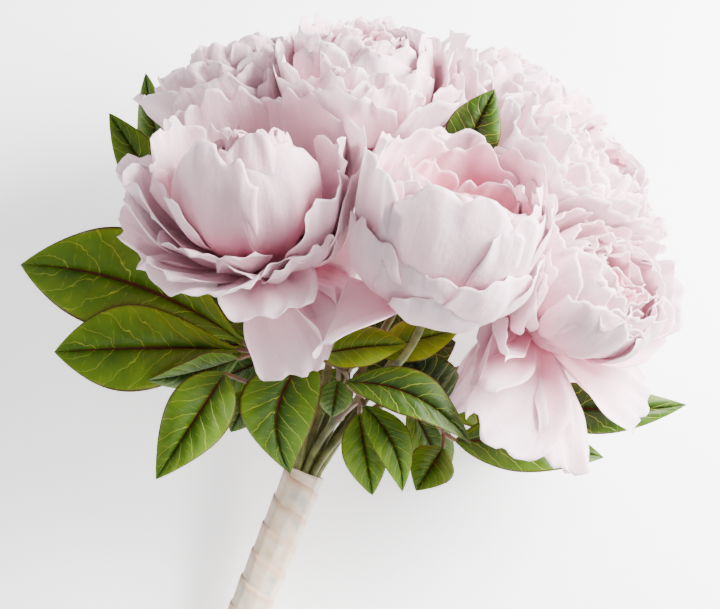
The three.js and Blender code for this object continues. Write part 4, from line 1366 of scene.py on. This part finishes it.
@dataclass(frozen=True)
class Frond:
    """A moulded stalk that forks, with printed cloth leaflets.

    A leaflet's sizes are shares of its width. The rib's groove, the clearance over the table and
    the stalk's radii are in millimetres.
    """

    plan: FrondPlan
    order: int
    rows: int = 34
    columns: int = 24
    crowding: float = 1.4
    fold: float = 0.12
    bulge: float = 0.16
    groove: float = 1.0
    groove_width: float = 0.07
    wave: float = 0.06
    quilt: float = 0.016
    edge: float = 0.02
    veins: float = 7.0
    vein_sweep: float = 1.5
    clearance: float = 0.6
    knuckle: float = 2.2
    stalk: float = 1.2
    stalk_tip: float = 0.9
    rib_tip: float = 0.3
    light_and_tone_unrest: float = 0.2
    under_flush: float = -0.5

    @staticmethod
    def leaf_face(leaf: Leaf) -> tuple[np.ndarray, np.ndarray]:
        """The way a leaflet lies.

        Args:
            leaf: its form.

        Returns:
            Its direction from base to tip, and the way its upper face looks.
        """
        axis = unit(np.array(leaf.tip, dtype=float) - np.array(leaf.base))
        face = np.array(leaf.face, dtype=float)
        return axis, unit(face - (face @ axis) * axis)

    def leaf_surface(self, leaf: Leaf, seed: int, u: np.ndarray, v: np.ndarray) -> np.ndarray:
        """Points of a leaflet's middle surface.

        Args:
            leaf: its form.
            seed: its own number.
            u: places across it, from -1 to 1.
            v: places along it, from 0 to 1.

        Returns:
            A plan point for each place.
        """
        base = np.array(leaf.base, dtype=float)
        reach = np.linalg.norm(np.array(leaf.tip) - base)
        axis, face = self.leaf_face(leaf)
        side = np.cross(axis, face)
        arch = 0.05 * reach if leaf.arch is None else leaf.arch
        off = np.abs(u)
        hump = 4 * v * (1 - v)
        outline = np.sin(np.pi * np.clip(v, 0.0, 0.9995) ** leaf.belly) ** 0.9
        half = leaf.width / 2 * np.maximum(outline, 0.07 * (1 - v) + 0.008)
        veins = np.cos(2 * np.pi * (self.veins * v - self.vein_sweep * off))
        wave = self.wave * leaf.width * np.sin(5 * v + 2 * u + seed) * hump
        quilt = self.quilt * leaf.width * veins * np.sin(np.pi * off) * hump
        edge = self.edge * leaf.width * np.sin(17 * v + 3 * u + seed) * off**3 * hump
        groove = self.groove * np.exp(-((u / self.groove_width) ** 2))
        bulge = self.bulge * half * np.sin(np.pi * off**0.7) - groove
        lift = off * (self.fold * half + wave) + quilt + edge + bulge * np.sqrt(hump) + arch * hump
        aside = leaf.bow * hump + u * half
        points = base + (v * reach)[..., None] * axis + aside[..., None] * side
        return keep_behind(points + lift[..., None] * face, [SURFACE], self.clearance)

    def stalks(self, surfaces: list[np.ndarray]) -> list[list[tuple[np.ndarray, float]]]:
        """Paths of the stalk from its joint to the fork, and on along each leaflet's rib.

        Args:
            surfaces: the leaflets' middle surfaces.

        Returns:
            One path for each leaflet, as points and radii.
        """
        curve = StemCurve(next(plan for plan in BLOOMS if plan.name == self.plan.stem))
        share = self.plan.joint / JOINT_STEPS
        seat, upward = curve.at(share), curve.along(share)
        fork = np.array(self.plan.fork, dtype=float)
        side = fork - seat
        side = unit(side - (side @ upward) * upward)
        start = seat + side * (JOINT_RADIUS + self.knuckle)
        bend = (start + fork) / 2 + upward * 0.12 * np.linalg.norm(fork - start)
        paths = []
        for k, (leaf, surface) in enumerate(zip(self.plan.leaves, surfaces)):
            rib = surface[:, surface.shape[1] // 2]
            shares = np.linspace(0.0, 1.0, len(rib))
            sizes = self.stalk_tip + (self.rib_tip - self.stalk_tip) * shares
            sunk = (shares > 0) * (sizes + CLOTH_THICKNESS / 2)
            under = rib - sunk[:, None] * self.leaf_face(leaf)[1]
            tail = list(zip(under[:-2], sizes))
            lead = smooth_line([start, bend, fork, rib[0]] if k == 0 else [fork, rib[0]], 6)[:-1]
            sizes = [self.stalk] * len(lead)
            if k == 0:
                sizes[:2] = [self.knuckle * 0.7, self.knuckle * 0.8]
            paths.append([*zip(lead, sizes), *tail])
        return paths

    def build(self, tubes: TubeMaker, finishes: Finishes) -> None:
        """Makes the leaflets and their stalks in place of their node.

        Args:
            tubes: what sweeps the stalks.
            finishes: the leaf cloth and the stalks' plastic are taken from it.
        """
        node = f"leaves_{self.plan.name}"
        cloth = ClothMesh("leaf", "cloth")
        even, v = grid(self.rows, self.columns)
        u = np.sign(even) * np.abs(even) ** self.crowding
        surfaces = []
        for k, leaf in enumerate(self.plan.leaves):
            seed = self.order * SEEDS_PER_FROND + k
            surface = self.leaf_surface(leaf, seed, u, v)
            surfaces.append(surface)
            across = u * np.linalg.norm(surface[:, -1] - surface[:, 0], axis=-1)[:, None] / 2
            down = v * np.linalg.norm(np.array(leaf.tip) - np.array(leaf.base)) + CHART_STEP * k
            charts = [np.stack([(u + 1) / 2, v], axis=-1), np.stack([across, down], axis=-1)]
            # Painted light and tone: a lit leaf's green is painted brighter and yellower and a shaded
            # one's darker, with a little random spread
            light_and_tone = leaf.light_and_tone + self.light_and_tone_unrest * scatter(seed, 9)
            cloth.add(surface, CLOTH_THICKNESS, charts, (light_and_tone, light_and_tone + self.under_flush))
        settle(cloth.build(f"printed_{node}", finishes.leaves), Slot.LEAVES, node)
        stalk = tubes.sweep(f"stalks_{self.plan.name}", self.stalks(surfaces), finishes.stalks)
        settle(stalk, Slot.STEMS, node)


# Ribbon


@dataclass(frozen=True)
class Ribbon:
    """A satin ribbon wound down the handle, each turn's upper edge over the turn above it.

    Its clearance is how far its lower edge lies outside the stems, step is how much further the
    upper edge lies, and tautness is how straight it runs from stem to stem.
    """

    top: float = 0.0
    foot: float = -125.0
    pitch: float = 15.0
    width: float = 21.0
    thickness: float = 0.3
    clearance: float = 1.3
    step: float = 1.0
    tautness: float = 3.0
    rows: int = 8
    columns: int = 479

    def outline(self, turn: np.ndarray, allowance: np.ndarray) -> np.ndarray:
        """Points round the bundle of stems, let out by an allowance.

        Args:
            turn: angles round the handle.
            allowance: how far outside the stems, at each angle.

        Returns:
            The points, at height zero.
        """
        stems = np.array(BUNDLE_CORNERS) * [STEM_PITCH, ROW_PITCH]
        rays = np.stack([np.cos(turn), np.sin(turn)], axis=-1)
        along = rays @ stems.T
        soft = np.exp(self.tautness * (along - along.max(axis=-1, keepdims=True)))
        middle = (soft[..., None] * stems).sum(axis=-2) / soft.sum(axis=-1, keepdims=True)
        flat = middle + rays * (STEM_RADIUS + allowance)[..., None]
        return np.concatenate([flat, np.zeros_like(flat[..., :1])], axis=-1)

    def build(self, finish: bpy.types.Material) -> None:
        """Makes the ribbon in place of its node.

        Args:
            finish: the satin.
        """
        turns = (self.top - self.foot + self.width) / self.pitch
        line = np.linspace(0.02, 2 * np.pi * turns - 0.02, self.columns + 1)
        turn, share = np.meshgrid(line, np.linspace(0.0, 1.0, self.rows + 1))
        crinkle = 0.12 * np.sin(2.3 * turn + 5 * share) + 0.1 * np.sin(5.1 * turn)
        whole = self.outline(turn, self.clearance + (self.step + 0.4 * crinkle) * share)
        whole[..., 2] = self.top + self.width * share - self.pitch * turn / (2 * np.pi)
        steps = np.linalg.norm(np.diff(whole[self.rows // 2], axis=0), axis=-1)
        length = steps.sum()
        along = np.broadcast_to(np.concatenate([[0.0], np.cumsum(steps)]), turn.shape)
        # Both ends of the winding are cut level with the rim
        cut = whole.copy()
        cut[..., 2] = np.clip(whole[..., 2], self.foot, self.top)
        kept = (cut[-1, :, 2] - cut[0, :, 2]).mean() / self.width
        cloth = ClothMesh("cloth")
        cloth.add(cut, self.thickness, [np.stack([along, share * self.width], axis=-1)])
        piece = cloth.build("wound_satin_ribbon", finish)
        settle(piece, Slot.RIBBON, "ribbon")
        LOG.info("ribbon: %.0f mm of %.0f mm satin, %.2f of it kept", length, self.width, kept)


# Studio


@dataclass(frozen=True)
class Lamp:
    """A soft studio lamp: its direction from what it lights, its distance, size and power.

    Distance, size and the point that it lights are in metres. Spread is the angle that its light
    keeps to, in degrees. A grid narrows it.
    """

    name: str
    direction: Triple
    distance: float
    size: float
    power: float
    colour: str
    lights: Triple = (0.0, 0.03, 0.1)
    spread: float = 180.0

    def hang(self) -> None:
        """Hangs the lamp and turns it to what it lights."""
        data = bpy.data.lights.new(self.name, "AREA")
        data.shape = "DISK"
        data.size = self.size
        data.energy = self.power
        data.color = linear(self.colour)[:3]
        data.spread = math.radians(self.spread)
        hung = bpy.data.objects.new(self.name, data)
        away = Vector(self.direction).normalized()
        hung.location = Vector(self.lights) + away * self.distance
        hung.rotation_mode = "QUATERNION"
        hung.rotation_quaternion = (-away).to_track_quat("-Z", "Y")
        bpy.context.scene.collection.objects.link(hung)


@dataclass(frozen=True)
class Studio:
    """The pale table, the soft light and the camera. Its sizes are in metres."""

    lamps: tuple[Lamp, ...] = (
        Lamp("key_softbox", (0.82, 0.72, 0.8), 0.78, 0.6, 52.0, "#FFFDFB"),
        Lamp("fill_softbox", (-0.9, -0.3, 0.9), 1.5, 1.3, 2.0, "#F6F9FF"),
        Lamp("front_softbox", (0.3, -0.8, 0.6), 1.0, 0.7, 3.6, "#FFFDFB"),
        Lamp("handle_strip", (0.64, -0.1, 0.76), 0.4, 0.16, 0.11, "#FFFDFB",
             (-0.005, -0.14, 0.025), 30.0),
    )
    sky: str = "#F8F9FC"
    sky_strength: float = 0.46
    table_size: float = 8.0
    table_drop: float = 0.0004
    sensor_mm: float = 36.0
    clip: tuple[float, float] = (0.05, 20.0)

    def table(self) -> None:
        """Lays the table under the bunch."""
        bpy.ops.mesh.primitive_plane_add(size=self.table_size, location=(0.0, 0.0, -self.table_drop))
        board = bpy.context.active_object
        board.name = "table"
        board.data.materials.append(PaintedTable().material())

    def light(self) -> None:
        """Hangs the lamps and sets the sky."""
        for lamp in self.lamps:
            lamp.hang()
        world = bpy.data.worlds.new("studio_sky")
        world.use_nodes = True
        backdrop = world.node_tree.nodes["Background"]
        backdrop.inputs["Color"].default_value = linear(self.sky)
        backdrop.inputs["Strength"].default_value = self.sky_strength
        bpy.context.scene.world = world

    def camera(self) -> None:
        """Sets the camera on the photograph's line of sight, turned as the bunch is held there."""
        forward = np.array([0.0, math.sin(AXIS_LEAN), -math.cos(AXIS_LEAN)])
        level = np.array([1.0, 0.0, 0.0])
        upright = np.cross(level, forward)
        right = math.cos(HOLD_LEAN) * level + math.sin(HOLD_LEAN) * upright
        up = math.cos(HOLD_LEAN) * upright - math.sin(HOLD_LEAN) * level
        off_right = (PHOTO_WIDTH / 2 - BINDING_PIXEL[0]) * MM_PER_PIXEL
        off_up = (BINDING_PIXEL[1] - PHOTO_HEIGHT / 2) * MM_PER_PIXEL
        centre = BINDING_AT + right * off_right + up * off_up
        data = bpy.data.cameras.new("photo_camera")
        data.sensor_width = self.sensor_mm
        data.lens = self.sensor_mm * CAMERA_DISTANCE / (PHOTO_WIDTH * MM_PER_PIXEL)
        data.clip_start, data.clip_end = self.clip
        held = bpy.data.objects.new("photo_camera", data)
        axes = Matrix((right, up, -forward)).transposed().to_4x4()
        axes.translation = Vector((centre - forward * CAMERA_DISTANCE) * MM)
        held.matrix_world = axes
        bpy.context.scene.collection.objects.link(held)
        bpy.context.scene.camera = held

    def build(self) -> None:
        """Makes the table, the light and the camera."""
        self.table()
        self.light()
        self.camera()


def main() -> None:
    """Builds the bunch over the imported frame, piece by piece."""
    logging.basicConfig(level=logging.INFO, format="%(name)s %(message)s")
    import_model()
    russet = MouldedStem("moulded_polyethylene_russet", "#3A1C0A", "#6F5426")
    finishes = Finishes(PetalCloth().material(), LeafCloth().material(), MouldedStem().material(),
                        russet.material(), SatinRibbon().material())
    Studio().build()
    tubes = TubeMaker()
    for order, plan in enumerate(BLOOMS):
        Bloom(plan, order).build(BLOOMS, finishes.petals)
        Stem(plan).build(tubes, finishes.stems)
    for order, plan in enumerate(FRONDS):
        Frond(plan, order).build(tubes, finishes)
    Ribbon().build(finishes.ribbon)


if __name__ == "__main__":
    main()
